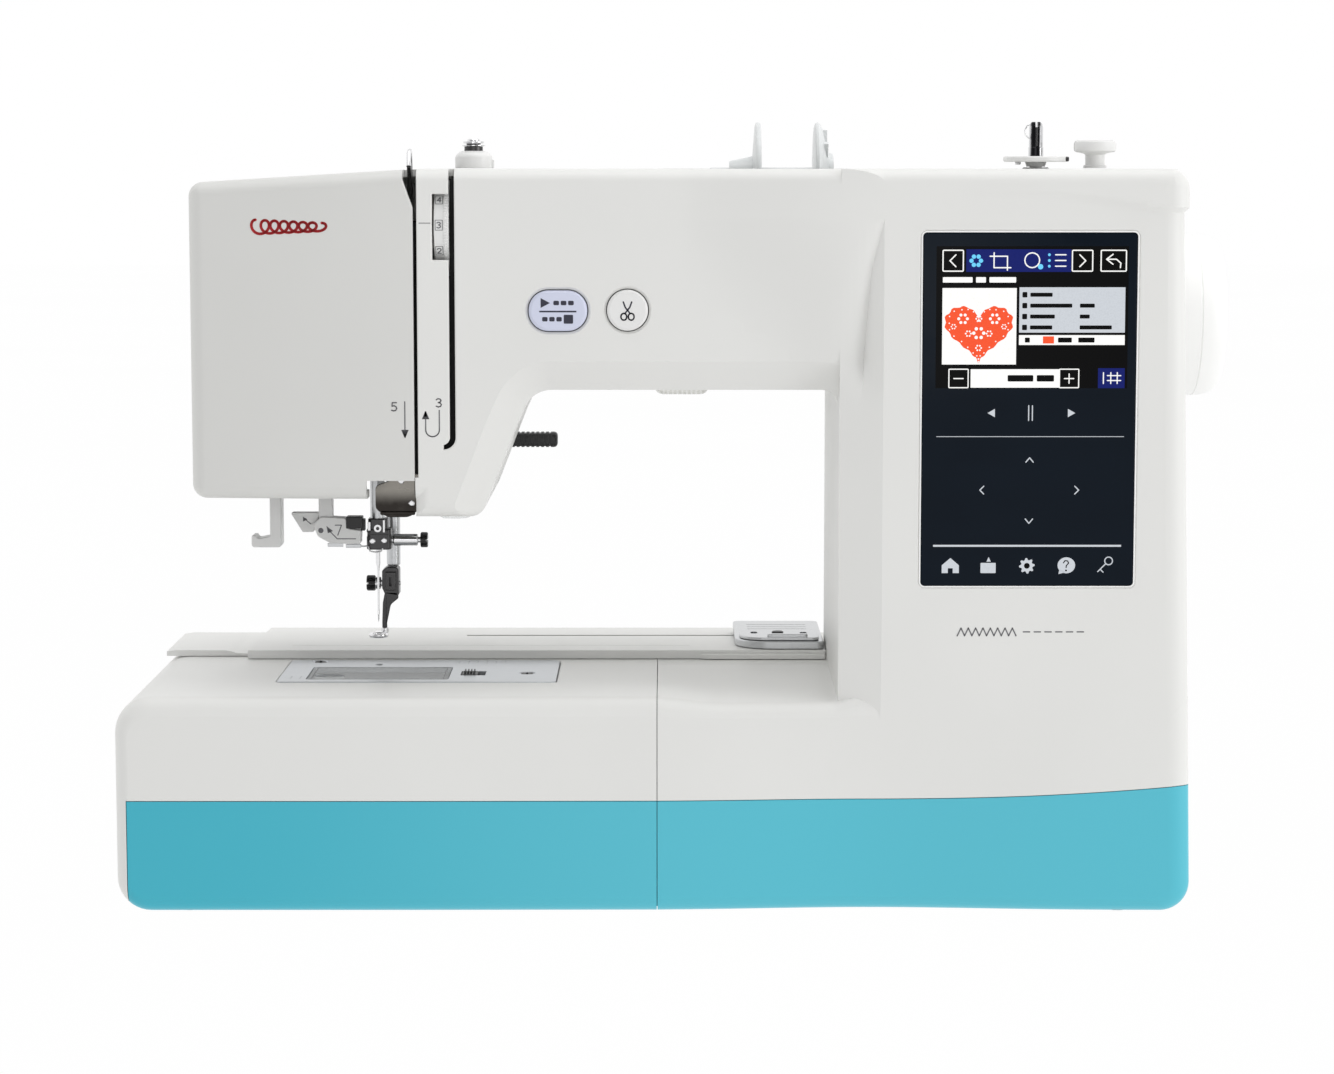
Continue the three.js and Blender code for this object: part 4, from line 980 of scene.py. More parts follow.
def make_dial():
    low, high = span("tension_dial")
    centre = (low + high) / 2
    radius = (high.z - low.z) / 2
    drum = turned("x", (0, centre.y, centre.z), [
        (0, low.x), (radius - 1.6, low.x), (radius - 0.7, low.x + 0.4), (radius - 0.7, high.x - 1.6),
        (0, high.x - 1.6)])
    rim = knurled("x", centre, radius, high.x - 2.0, high.x, 96, 0.35, 0.3)
    show("dial_drum", drum, trim_white, "tension_dial", ["tension_dial"])
    show("dial_rim", rim, trim_white, "tension_dial", smooth=20)

    def on_drum(a, b):
        angle = math.pi + b / radius
        size = radius - 0.6
        return (low.x + 0.5 + a, centre.y + size * math.cos(angle), centre.z - size * math.sin(angle))

    lines, boxes = [], []
    for digit, place in (("4", 12.2), ("3", 0.8), ("2", -10.6), ("5", 23.6)):
        lines.append([(1.0 + x * 1.5, place - 1.2 + y * 1.5) for x, y in DIGITS[digit]])
        boxes.append([(0.3, place - 2.1), (3.2, place - 2.1), (3.2, place + 2.1), (0.3, place + 2.1),
                      (0.3, place - 2.1)])
    show("dial_digits", marks(lines, 0.42, on_drum, 0.6), mark_grey, "tension_dial")
    show("dial_boxes", marks(boxes, 0.24, on_drum, 0.6), mark_grey, "tension_dial")
    index = [[(DIAL_X - 5.2, DIAL_Z + 1.6), (DIAL_X - 0.6, DIAL_Z + 1.6)]]
    show("dial_index", marks(index, 0.3, on_front(ARM_FRONT - 0.05)), mark_grey)


def make_buttons():
    body = "start_button"
    outline = rectangle(START.x - 12, START.x + 12, START.z - 8.3, START.z + 8.3, 8.1, 12)
    cap = slab("y", outline, ARM_FRONT - 0.9, ARM_FRONT + 5, 1.6, 0, 6)
    show("start_cap", cap, lavender, body, ["start_stop_button"], smooth=50)
    face = on_front(ARM_FRONT - 0.96)
    arrow = [(START.x - 7.0, START.z + 5.2), (START.x - 7.0, START.z + 1.2), (START.x - 3.2, START.z + 3.2)]
    dashes = [rectangle(START.x - 1.8 + i * 3.0, START.x + 0.5 + i * 3.0, START.z + 2.3, START.z + 4.1, 0.5)
              for i in range(3)]
    stop = rectangle(START.x + 2.4, START.x + 6.2, START.z - 5.2, START.z - 1.6, 0.4)
    threads = [rectangle(START.x - 6.4 + i * 2.9, START.x - 4.2 + i * 2.9, START.z - 4.3, START.z - 2.5, 0.5)
               for i in range(3)]
    line = rectangle(START.x - 7.6, START.x + 7.6, START.z - 0.6, START.z + 0.05, 0.2)
    show("start_marks", patches([arrow, *dashes, stop, *threads, line], face), mark_navy, body)
    cap = slab("y", oval(CUTTER.x, CUTTER.z, 8.4, 8.4, 48), ARM_FRONT - 0.9, ARM_FRONT + 5, 1.3, 0, 6)
    show("cutter_cap", cap, trim_white, "cutter_button", ["cutter_button"], smooth=50)
    x, z = CUTTER.x, CUTTER.z
    blades = [[(x - 1.7, z + 3.4), (x - 0.9, z + 1.2), (x + 1.1, z - 1.3)],
              [(x + 1.7, z + 3.4), (x + 0.9, z + 1.2), (x - 1.1, z - 1.3)]]
    loops = [[*oval(x - 1.5, z - 2.6, 1.2, 1.4, 14)], [*oval(x + 1.5, z - 2.6, 1.2, 1.4, 14)]]
    loops = [loop + loop[:1] for loop in loops]
    show("cutter_marks", marks(blades + loops, 0.62, face), mark_navy, "cutter_button")


def make_face_marks():
    """Threading marks beside the slots, a stitched motif on the head and a row of stitches below the screen."""
    face = on_front(ARM_FRONT - 0.05)
    x, z = FACE_RIGHT - 3.9, HEAD_BOTTOM + 26
    arrow = [[(x, z + 14.5), (x, z + 2)],
             *[[(x - side, z + 2.8), (x, z), (x + side, z + 2.8)] for side in (1.2, 0.8, 0.4)]]
    hook_x, hook_z = FACE_RIGHT + 7.4, HEAD_BOTTOM + 29
    bend = [(hook_x + 2.8 * math.cos(a), hook_z - 2.8 * math.sin(a)) for a in (math.pi * i / 12 for i in range(13))]
    hook = [[(hook_x + 2.8, hook_z + 8), *bend, (hook_x - 2.8, hook_z + 7)],
            *[[(hook_x - 2.8 - side, hook_z + 4.6), (hook_x - 2.8, hook_z + 7.4), (hook_x - 2.8 + side, hook_z + 4.6)]
              for side in (1.2, 0.8, 0.4)]]
    digits = [moved_shape(DIGITS["5"], x - 5.4, z + 10.8, 2.1),
              moved_shape(DIGITS["3"], hook_x + 1.6, hook_z + 9.4, 2.1)]
    show("threading_marks", marks(arrow + hook + digits, 0.5, face), mark_grey)
    x, z = HEAD_LEFT + 26.3, ARM_TOP - 24.7
    thread = [(x + 2 + 0.62 * t - 2.6 * math.sin(t), z + 1.2 + 2.9 * math.cos(t) * (1 - 0.010 * t))
              for t in (0.25 * i for i in range(177))]
    show("head_motif", marks([thread], 1.15, lambda a, b: (a, ARM_FRONT - 0.06 + face_curve(a), b)), mark_red)
    glass_low = span("display_glass")[0]
    x, z = glass_low.x + 15.2, glass_low.z - 19
    zigzag = [[(x + i * 1.5, z + (1.6 if i % 2 else -1.6)) for i in range(17)],
              *[[(x + 27 + i * 4.4, z), (x + 29.6 + i * 4.4, z)] for i in range(6)]]
    show("column_stitches", marks(zigzag, 0.5, on_front(FRONT - 0.05)), mark_grey)


# ------------------------------------------------------------------ screen
def glow(name, colour, strength=0.9):
    """A lit area of the display: a colour broken up by a fine grid of dots."""
    finish = Finish(name, shade(colour, 0.3), 0.25, Emission_Strength=strength, Specular_IOR_Level=0.1)
    dots = finish.node("ShaderNodeTexVoronoi", {}, {"Vector": finish.place(), "Scale": 1900.0})
    finish.feed("Emission Color", finish.tint(dots, colour, shade(colour, 0.86)))
    finish.feed("Roughness", finish.noise(80, 2) * 0.1 + 0.2)
    return finish.material


def glass_material():
    """Blue-black glass, with very faint finger marks."""
    finish = Finish("display_glass", (0.003, 0.006, 0.011), 0.12, Specular_IOR_Level=0.08)
    smears = finish.noise(28, 4, (1, 1, 2.4))
    finish.feed("Base Color", finish.tint(smears, (0.003, 0.006, 0.011), (0.0045, 0.009, 0.016)))
    finish.feed("Roughness", smears.between(0.45, 0.75) * 0.1 + 0.1)
    return finish.material


def ring_line(shape):
    return [*shape, shape[0]]


def make_screen():
    low, high = span("display_glass")
    glass = slab("y", rectangle(low.x, high.x, low.z, high.z, 1.6), low.y, high.y, 0.5, 0.3)
    show("screen_glass", glass, glass_material(), instead_of=["display_glass"])
    # A thin bezel round the glass, in the brighter wheel white: a painted highlight for the lit edge line round the
    # screen.
    frame_edge = [rectangle(low.x - grow, high.x + grow, low.z - grow, high.z + grow, 1.6 + grow) for grow in (0.7,
                                                                                                               0.12)]
    ring = cut(slab("y", frame_edge[0], low.y - 0.1, low.y + 1.4, 0.25, 0),
               prism("y", frame_edge[1], low.y - 2, low.y + 3))
    show("screen_rim", ring, wheel_white)
    unit = (high.x - low.x) / 86.6

    def layer(height):
        return lambda a, b: (low.x + a * unit, low.y - 0.03 - 0.02 * height, low.z + b * unit)

    white, pale = glow("ui_white", (0.9, 0.9, 0.88)), glow("ui_pale", (0.55, 0.58, 0.62))
    navy, orange = glow("ui_navy", (0.006, 0.012, 0.13)), glow("ui_orange", (0.85, 0.09, 0.03))
    dark, sky = glow("ui_dark", (0.0005, 0.0005, 0.001), 0.1), glow("ui_sky", (0.15, 0.6, 0.9))
    box = rectangle
    show("screen_field", patches([box(5.4, 83, 80.7, 138)], layer(1)), dark)
    show("screen_icon_bar", patches([box(17.4, 59.8, 127.7, 136.8), box(71.2, 82, 80.7, 88.8)], layer(2)), navy)
    show("screen_picture", patches([box(7.9, 37.9, 90.3, 121.2)], layer(2)), white)
    show("screen_panel", patches([box(39, 81.8, 103.2, 121.5)], layer(2)), pale)
    show("screen_rows", patches([box(39, 81.8, 98.2, 102.2), box(19.6, 55.6, 80.9, 88.4)], layer(2)), white)

    # A lace heart on the picture, and the thread colour's swatch.
    middle = (22.7, 104.2)
    heart = []
    for i in range(96):
        t = 2 * math.pi * i / 96
        scallop = 1 + 0.035 * math.cos(22 * t)
        heart.append((middle[0] + 0.86 * scallop * 16 * math.sin(t) ** 3,
                      middle[1] + 0.8 * scallop * (13 * math.cos(t) - 5 * math.cos(2 * t) - 2 * math.cos(3 * t)
                                                   - math.cos(4 * t))))
    show("screen_heart", patches([heart, box(48.7, 53.2, 98.8, 101.7)], layer(3)), orange)
    lace = []
    for centre_x, centre_z, size in ((-6.4, 4.6, 1.0), (6.4, 4.6, 1.0), (0, -1.2, 1.15), (-4.2, -1.4, 0.6),
                                     (4.2, -1.4, 0.6),
                                     (0, 4.6, 0.6), (0, -7.2, 0.6), (-10.2, 1.4, 0.5), (10.2, 1.4, 0.5)):
        for turn in range(6):
            angle = math.pi * turn / 3
            lace.append(oval(middle[0] + centre_x + 1.75 * size * math.cos(angle),
                             middle[1] + centre_z + 1.75 * size * math.sin(angle), 0.62 * size, 0.62 * size, 10))
    for i in range(0, 96, 3):
        point = heart[i]
        lace.append(oval(middle[0] + (point[0] - middle[0]) * 0.9, middle[1] + (point[1] - middle[1]) * 0.9, 0.3, 0.3,
                         8))
    show("screen_lace", patches(lace, layer(4)), white)

    # Icons of the bar, the two arrows beside it and the return key.
    frames = [ring_line(box(8, 16.2, 128, 136.4, 0.4)), ring_line(box(60.2, 68.4, 128, 136.4, 0.4)),
              ring_line(box(71.8, 82, 128, 136.4, 0.4))]
    arrows = [[(13.2, 134.6), (10.8, 132.2), (13.2, 129.8)], [(63.2, 134.6), (65.6, 132.2), (63.2, 129.8)],
              [(76.6, 134.8), (74, 132.8), (76.6, 130.8)], [(74, 132.8), (78, 132.8), (79.8, 131.2), (79.6, 129.4)]]
    crop = [[(28.6, 135.4), (28.6, 129.4), (35.4, 129.4)], [(27, 134), (34, 134), (34, 128.4)],
            ring_line(oval(44, 132.4, 3.0, 3.0, 16))]
    rows = [[(53.4, 134.6 - i * 2.3), (57.6, 134.6 - i * 2.3)] for i in range(3)]
    show("screen_icons", marks(frames + arrows + crop + rows, 0.5, layer(3)), white)
    flower = [oval(21.4 + 1.9 * math.cos(a), 132.2 + 1.9 * math.sin(a), 0.9, 0.9, 10)
              for a in (math.pi * i / 3 for i in range(6))]
    dots = [oval(50.9, 134.6 - i * 2.3, 0.6, 0.6, 8) for i in range(3)] + [oval(47.4, 129.8, 1.1, 1.1, 12)]
    show("screen_flower", patches(flower + dots, layer(3)), sky)

    # Text is shown as short bars.
    words = [box(8 + a, 8 + b, 123.4, 125.6, 0.3) for a, b in ((0, 12), (13.4, 17.4), (18.8, 29.6))]
    keys = [ring_line(box(10.8, 18.6, 80.9, 88.4, 0.3)), ring_line(box(55.6, 63.4, 80.9, 88.4, 0.3))]
    signs = [[(12.8, 84.6), (16.6, 84.6)], [(57.6, 84.6), (61.4, 84.6)], [(59.5, 82.7), (59.5, 86.5)],
             [(73.4, 82.6), (73.4, 87)], [(76.4, 82.6), (76.4, 87)], [(79, 82.6), (79, 87)],
             [(75, 83.8), (80.4, 83.8)], [(75, 85.8), (80.4, 85.8)]]
    show("screen_status", patches(words, layer(3)), white)
    show("screen_keys", marks(keys + signs, 0.45, layer(3)), white)
    bars = []
    for row, widths in enumerate(((9,), (17, 6), (10, 4), (9, 13))):
        z = 117.4 - row * 4.4
        bars.append(box(40.2, 42.2, z, z + 2.2, 0.4))
        start = 43.4
        for width in widths:
            bars.append(box(start, start + width, z + 0.3, z + 1.9, 0.3))
            start = 63.5
    bars += [box(41.4, 43.4, 99.2, 101.2, 0.3), box(54.8, 60.4, 99.2, 101.2, 0.3), box(63, 69.6, 99.2, 101.2, 0.3),
             box(34.6, 45, 83.4, 86, 0.4), box(46.4, 53.4, 83.4, 86, 0.4)]
    show("screen_bars", patches(bars, layer(3)), dark)

    # Printed keys below the lit field.
    triangles = [[(29.6, 70.6 - 1.7), (29.6, 70.6 + 1.7), (26.6, 70.6)],
                 [(59.2, 70.6 - 1.7), (59.2, 70.6 + 1.7), (62.2, 70.6)]]
    home = [(8.6, 8.4), (8.6, 5.2), (11.1, 5.2), (11.1, 7.2), (13.1, 7.2), (13.1, 5.2), (15.6, 5.2), (15.6, 8.4),
            (12.1, 11.4)]
    folder = [box(24.4, 30.6, 5.2, 9.4, 0.3), [(26.8, 9.9), (28.6, 9.9), (27.7, 11.8)]]
    gear = [(43.3 + (3.2 if i % 4 < 2 else 2.4) * math.cos(math.pi * i / 16), 8.2 + (3.2 if i % 4 < 2 else 2.4)
             * math.sin(math.pi * i / 16)) for i in range(32)]
    bubble = [oval(59.4, 8.4, 3.6, 3.3, 24), [(56.6, 6.8), (56.2, 4.8), (59.4, 5.6)]]
    show("screen_menu", patches([home, *folder, gear, *bubble, *triangles, box(5, 81.6, 16, 16.8)], layer(1)), pale)
    key = [ring_line(oval(76.6, 10.2, 1.6, 1.6, 14)), [(75.4, 9), (72.2, 5.8)], [(73.2, 6.8), (74.4, 5.6)]]
    lines = [[(43.3, 67.6), (43.3, 73.6)], [(44.8, 67.6), (44.8, 73.6)], [(42.4, 50.6), (43.9, 52.4), (45.4, 50.6)],
             [(25.4, 40.8), (23.8, 39.2), (25.4, 37.6)], [(62.4, 40.8), (64, 39.2), (62.4, 37.6)],
             [(42.4, 27.4), (43.9, 25.6), (45.4, 27.4)]]
    show("screen_signs", marks(lines + key, 0.45, layer(1)), pale)
    show("screen_rule", marks([[(6, 61), (82, 61)]], 0.25, layer(1)), pale)
    holes = [oval(43.3, 8.2, 1.2, 1.2, 14), oval(59.3, 6.3, 0.4, 0.4, 8)]
    show("screen_menu_holes", patches(holes, layer(2)), dark)
    question = [[(58.2, 9.4), (58.8, 10.3), (59.9, 10.2), (60.3, 9.3), (59.4, 8.3), (59.3, 7.5)]]
    show("screen_question", marks(question, 0.45, layer(2)), dark)


def make_slot_shade():
    """Near-black sheets behind the two thread slots: painted shade, so that the slots read as dark and deep."""
    deep = ARM_FRONT + 9
    left = block(FACE_RIGHT - 1.6, FACE_RIGHT + 2.2, deep, deep + 1, HEAD_BOTTOM + 10, ARM_TOP - 21, 0.2)
    right = block(SLOT_LEFT - 5, SLOT_RIGHT + 0.8, deep - 4, deep - 3, NOSE_BOTTOM + 24, DIAL_Z - 20, 0.2)
    top = block(SLOT_LEFT + 0.3, SLOT_RIGHT + 0.8, deep - 4, deep - 3, DIAL_Z - 20.2, ARM_TOP - 4, 0.2)
    show("slot_shade_sheets", together(left, join(right, top)), slot_shade_black)


make_slot_shade()
make_dial()
make_buttons()
make_face_marks()
make_screen()

# ------------------------------------------------------------------ needle area
def satin_material():
    """Burnished steel of the thread guard, with a painted reflection of dark surroundings that darkens its lower
    half.
    """
    low, high = span("thread_guard_plate")
    finish = Finish("satin_steel", (0.2, 0.19, 0.17), 0.26, 1.0)
    height = finish.node("ShaderNodeSeparateXYZ", {}, {0: finish.place()}, output=2)
    # Painted reflection: the lower half goes dark to stand in for dark surroundings mirrored in the steel.
    band = height.between((high.z - 6) * MM, (low.z + 5) * MM) + finish.noise(260, 2) * 0.2 - 0.1
    finish.feed("Base Color", finish.tint(band, (0.26, 0.245, 0.22), (0.035, 0.031, 0.028)))
    lines = finish.noise(900, 3, (0.1, 1, 1))
    finish.feed("Roughness", lines * 0.14 + 0.18)
    finish.bump(lines, 0.06, 0.03)
    return finish.material


def make_guard_plate():
    low, high = span("thread_guard_plate")
    outline = round_corners([(low.x, low.z + 3.5, 3), (low.x + 5, low.z, 3), (high.x - 4, low.z, 6),
                             (high.x, low.z + 4, 3), (high.x, high.z, 0.5), (low.x + 8, high.z, 2.5),
                             (low.x + 5.5, high.z - 3, 3), (low.x, high.z - 5, 2.5)], 1, 8)
    plate = slab("y", outline, low.y, high.y, 0.35, 0.35)
    rib = slab("y", round_corners([(low.x + 2, low.z + 1), (high.x - 2, low.z + 1), (high.x - 2, low.z + 2.6),
                                   (low.x + 2, low.z + 2.6)], 0.7), low.y - 1.2, low.y + 0.2, 0.5, 0)
    show("guard_plate", join(plate, rib), satin_material(), instead_of=["thread_guard_plate"])
    rivets = together(*[screw("y", (x, 0, z), 1.3, low.y, low.y - 0.8) for x, z in
                        ((low.x + 11, high.z - 3), (high.x - 3.5, low.z + 6))])
    show("guard_screws", rivets, bright_chrome)
    show("guard_latch", block(high.x - 2.2, high.x - 0.6, low.y - 1.0, low.y, high.z - 9, high.z - 2, 0.3),
         black_plastic)


def make_lamps():
    low, high = span("head_lamp_lens")
    dome = slab("z", rectangle(low.x, high.x, low.y, high.y, 5, 10), high.z, low.z, 0.3, 3.0, 6)
    show("head_lens", dome, clear_plastic, instead_of=["head_lamp_lens"], smooth=60)
    lamps = together(*[turned("z", (x, y, 0), [(0, high.z), (2.4, high.z), (2.4, high.z - 0.8), (1.6, high.z - 1.6),
                                                (0, high.z - 1.9)], 24)
                       for x in (low.x + 4.4, high.x - 4.4) for y in (low.y + 8, high.y - 8)])
    show("head_lamps", lamps, lamp_lens)
    low, high = span("arm_lamp_lens")
    dome = slab("z", rectangle(low.x, high.x, low.y, high.y, 5, 10), high.z, low.z, 0.3, 3.0, 6)
    show("arm_lens", dome, lamp_lens, instead_of=["arm_lamp_lens"], smooth=60)


def make_threader():
    low, high = span("threader_lever")
    foot_top = low.z + 5.2
    outline = round_corners([(low.x, low.z, 1.4), (high.x, low.z, 1.6), (high.x, high.z, 0.8),
                             (high.x - 5, high.z, 0.8),
                             (high.x - 5, foot_top - 0.4, 1.2), (low.x + 2.8, foot_top - 1.4, 1.2),
                             (low.x + 1.9, foot_top, 0.8), (low.x, foot_top, 0.8)], 1)
    lever = slab("y", outline, low.y + 1, high.y - 1, 0.6, 0.6)
    show("threader_arm", lever, trim_white, "threader", ["threader_lever"], smooth=40)
    low, high = span("threader_head")
    base = low.z
    body = round_corners([(low.x - 0.5, base + 8.3, 1.6), (low.x + 1.6, base + 3.0, 2.2), (low.x + 7, base, 2),
                          (high.x - 0.2, base - 0.4, 1), (high.x, base + 5.6, 0.6), (high.x - 5.4, base + 6.4, 0.6),
                          (high.x - 6.6, base + 11, 1), (low.x + 3, base + 11.6, 2)], 1)
    head_solid = slab("y", body, low.y, high.y, 0.6, 0.6)
    stem = block(low.x + 2, low.x + 8, low.y + 1, high.y - 1, base + 9, high.z, 0.5)
    show("threader_body", join(head_solid, stem), trim_white, "threader", ["threader_head"], smooth=40)
    wedge = round_corners([(low.x - 10.4, base + 13.2, 0.6), (low.x + 2.5, base + 13.2, 0.6),
                           (low.x - 0.4, base + 4.6, 1),
                           (low.x - 5.2, base + 4.6, 1)], 1)
    show("threader_wedge", slab("y", wedge, low.y + 2.5, high.y - 1, 0.5, 0.5), trim_white, "threader")
    holder = join(block(high.x - 6.4, high.x + 0.6, low.y - 0.4, high.y - 1.5, base + 6.4, base + 11.6, 0.4),
                  block(high.x - 0.2, high.x + 1.6, low.y + 1, high.y - 2.5, base + 5.4, base + 10.4, 0.3))
    show("threader_holder", holder, black_plastic, "threader")
    hooks = together(block(low.x + 5.6, low.x + 12.4, low.y + 2, low.y + 3, base - 1.7, base - 0.1, 0.2),
                     block(high.x - 6.8, high.x - 0.2, low.y + 1.6, low.y + 2.8, base - 2.1, base - 0.5, 0.25),
                     tube([(high.x - 3, low.y + 2.4, base - 1.2), (high.x + 0.8, low.y + 3, base - 1.6),
                           (high.x + 2.4, low.y + 5, base - 1.6)], 0.3))
    show("threader_hooks", hooks, brushed_steel, "threader")
    face = on_front(low.y - 0.06)
    seven = moved_shape(DIGITS["7"], low.x + 9.2, base + 3.6, 2.7)
    path = [(high.x - 2.4, base + 2.0), (low.x + 10, base + 2.0), (low.x + 6.2, base + 6.0)]
    show("threader_marks", marks([seven, path], 0.42, face), mark_grey, "threader")
    spots = [oval(low.x + 3.0, base + 5.6, 1.15, 1.15, 20),
             [(low.x + 5.4, base + 7.6), (low.x + 8.2, base + 5.4), (low.x + 6.0, base + 4.4)]]
    show("threader_spots", patches(spots, face), mark_grey, "threader")
    tip = [[(low.x - 5, base + 11.4), (low.x - 3.0, base + 10.2), (low.x - 4.9, base + 9.2)]]
    shaft = [[(low.x - 1.6, base + 8.2), (low.x - 4.2, base + 10.4)]]
    show("wedge_marks", together(patches(tip, on_front(low.y + 2.44)), marks(shaft, 0.4, on_front(low.y + 2.44))),
         mark_grey, "threader")


def make_needle_bar():
    low, high = span("needle_bar")
    centre = (NEEDLE_X, NEEDLE_Y, 0)
    radius = (high.x - low.x) / 2
    show("needle_rod", turned("z", centre,
                              [(0, low.z), (radius - 0.3, low.z), (radius, low.z + 0.3), (radius, high.z - 0.6),
                                           (radius - 0.6, high.z), (0, high.z)]), brushed_steel, "needle_carrier",
         ["needle_bar"])
    low, high = span("needle_clamp")
    body = slab("z", rectangle(low.x, high.x, low.y, high.y, 2.2), low.z, low.z + 9, 0.6, 0.6)
    crown = slab("z", rectangle(low.x + 0.6, high.x - 1.6, low.y + 0.6, high.y - 0.6, 1.8), low.z + 8.4, high.z, 0.2,
                 0.5)
    window = block(low.x - 1, low.x + 1.4, low.y - 1, low.y + 5, low.z + 5.6, low.z + 7.6)
    groove = block(low.x - 1, high.x + 1, low.y - 1, low.y + 0.7, low.z + 6.6, low.z + 7.3)
    socket = turned("z", centre, [(0, low.z - 1), (1.5, low.z - 1), (1.1, low.z + 1.2), (0, low.z + 1.2)], 24)
    show("clamp_block", cut(join(body, crown), window, groove, socket), dark_steel, "needle_carrier",
         ["needle_clamp"],
         smooth=40)
    front = low.y
    details = [screw("y", (x, 0, z), r, front + 0.3, front - 0.7) for x, z, r in
               ((low.x + 2.7, low.z + 3.9, 1.25), (high.x - 3.0, low.z + 4.1, 1.25))]
    details.append(turned("y", (NEEDLE_X + 0.4, 0, low.z + 9.4),
                          [(0.75, front - 0.6), (1.6, front - 0.6), (1.6, front + 0.4),
                                                                    (0.75, front + 0.4)], 28))
    details.append(block(low.x + 0.7, low.x + 1.9, front - 0.5, front + 0.4, low.z + 8.4, low.z + 12.2, 0.2))
    details.append(block(NEEDLE_X + 2.6, NEEDLE_X + 3.5, front - 0.4, front + 0.4, low.z + 7.6, high.z - 0.4, 0.2))
    show("clamp_fittings", together(*details), bright_chrome, "needle_carrier")
    guide = [(NEEDLE_X - 3.6, NEEDLE_Y - 4.6, low.z + 1.4), (NEEDLE_X - 3.0, NEEDLE_Y - 5.8, low.z - 0.4),
             (NEEDLE_X - 0.6, NEEDLE_Y - 6.0, low.z - 0.9), (NEEDLE_X + 1.8, NEEDLE_Y - 5.6, low.z - 0.5),
             (NEEDLE_X + 2.6, NEEDLE_Y - 4.4, low.z + 0.8)]
    show("needle_thread_guide", tube(guide, 0.35), bright_chrome, "needle_carrier", smooth=60)
    low, high = span("needle")
    tip = low.z
    profile = [(0, tip), (0.22, tip + 1.2), (0.4, tip + 3.2), (0.52, tip + 4.4), (0.42, tip + 6.2), (0.45, tip + 22),
               (0.62, tip + 24.5), (1.0, tip + 26), (1.0, high.z - 0.2), (0, high.z)]
    blade = cut(turned("z", centre, profile, 28), block(NEEDLE_X - 0.14, NEEDLE_X + 0.14, NEEDLE_Y - 2, NEEDLE_Y + 2,
                                                        tip + 3.4, tip + 5.0),
                block(NEEDLE_X - 0.12, NEEDLE_X + 0.12, NEEDLE_Y - 2, NEEDLE_Y - 0.32, tip + 4, tip + 20),
                block(NEEDLE_X - 2, NEEDLE_X + 2, NEEDLE_Y + 0.7, NEEDLE_Y + 2, tip + 26.5, high.z + 1))
    show("needle_blade", blade, bright_chrome, "needle_carrier", ["needle"], smooth=40)
    low, high = span("needle_clamp_screw")
    centre = (0, (low.y + high.y) / 2, (low.z + high.z) / 2)
    stem = turned("x", centre, [(0, low.x), (1.5, low.x), (1.5, low.x + 3.6), (2.3, low.x + 3.9), (2.6, low.x + 4.4),
                                (2.6, high.x - 4.9), (2.3, high.x - 4.3), (1.3, high.x - 4.1), (1.3, high.x - 2.8),
                                (0, high.x - 2.8)], 40)
    show("clamp_screw_stem", stem, bright_chrome, "clamp_screw", ["needle_clamp_screw"])
    head = cut(knurled("x", centre, 3.3, high.x - 3.1, high.x, 30, 0.3, 0.35),
               block(high.x - 0.7, high.x + 1, centre[1] - 5, centre[1] + 5, centre[2] - 0.4, centre[2] + 0.4))
    show("clamp_screw_head", head, dark_steel, "clamp_screw", smooth=20)


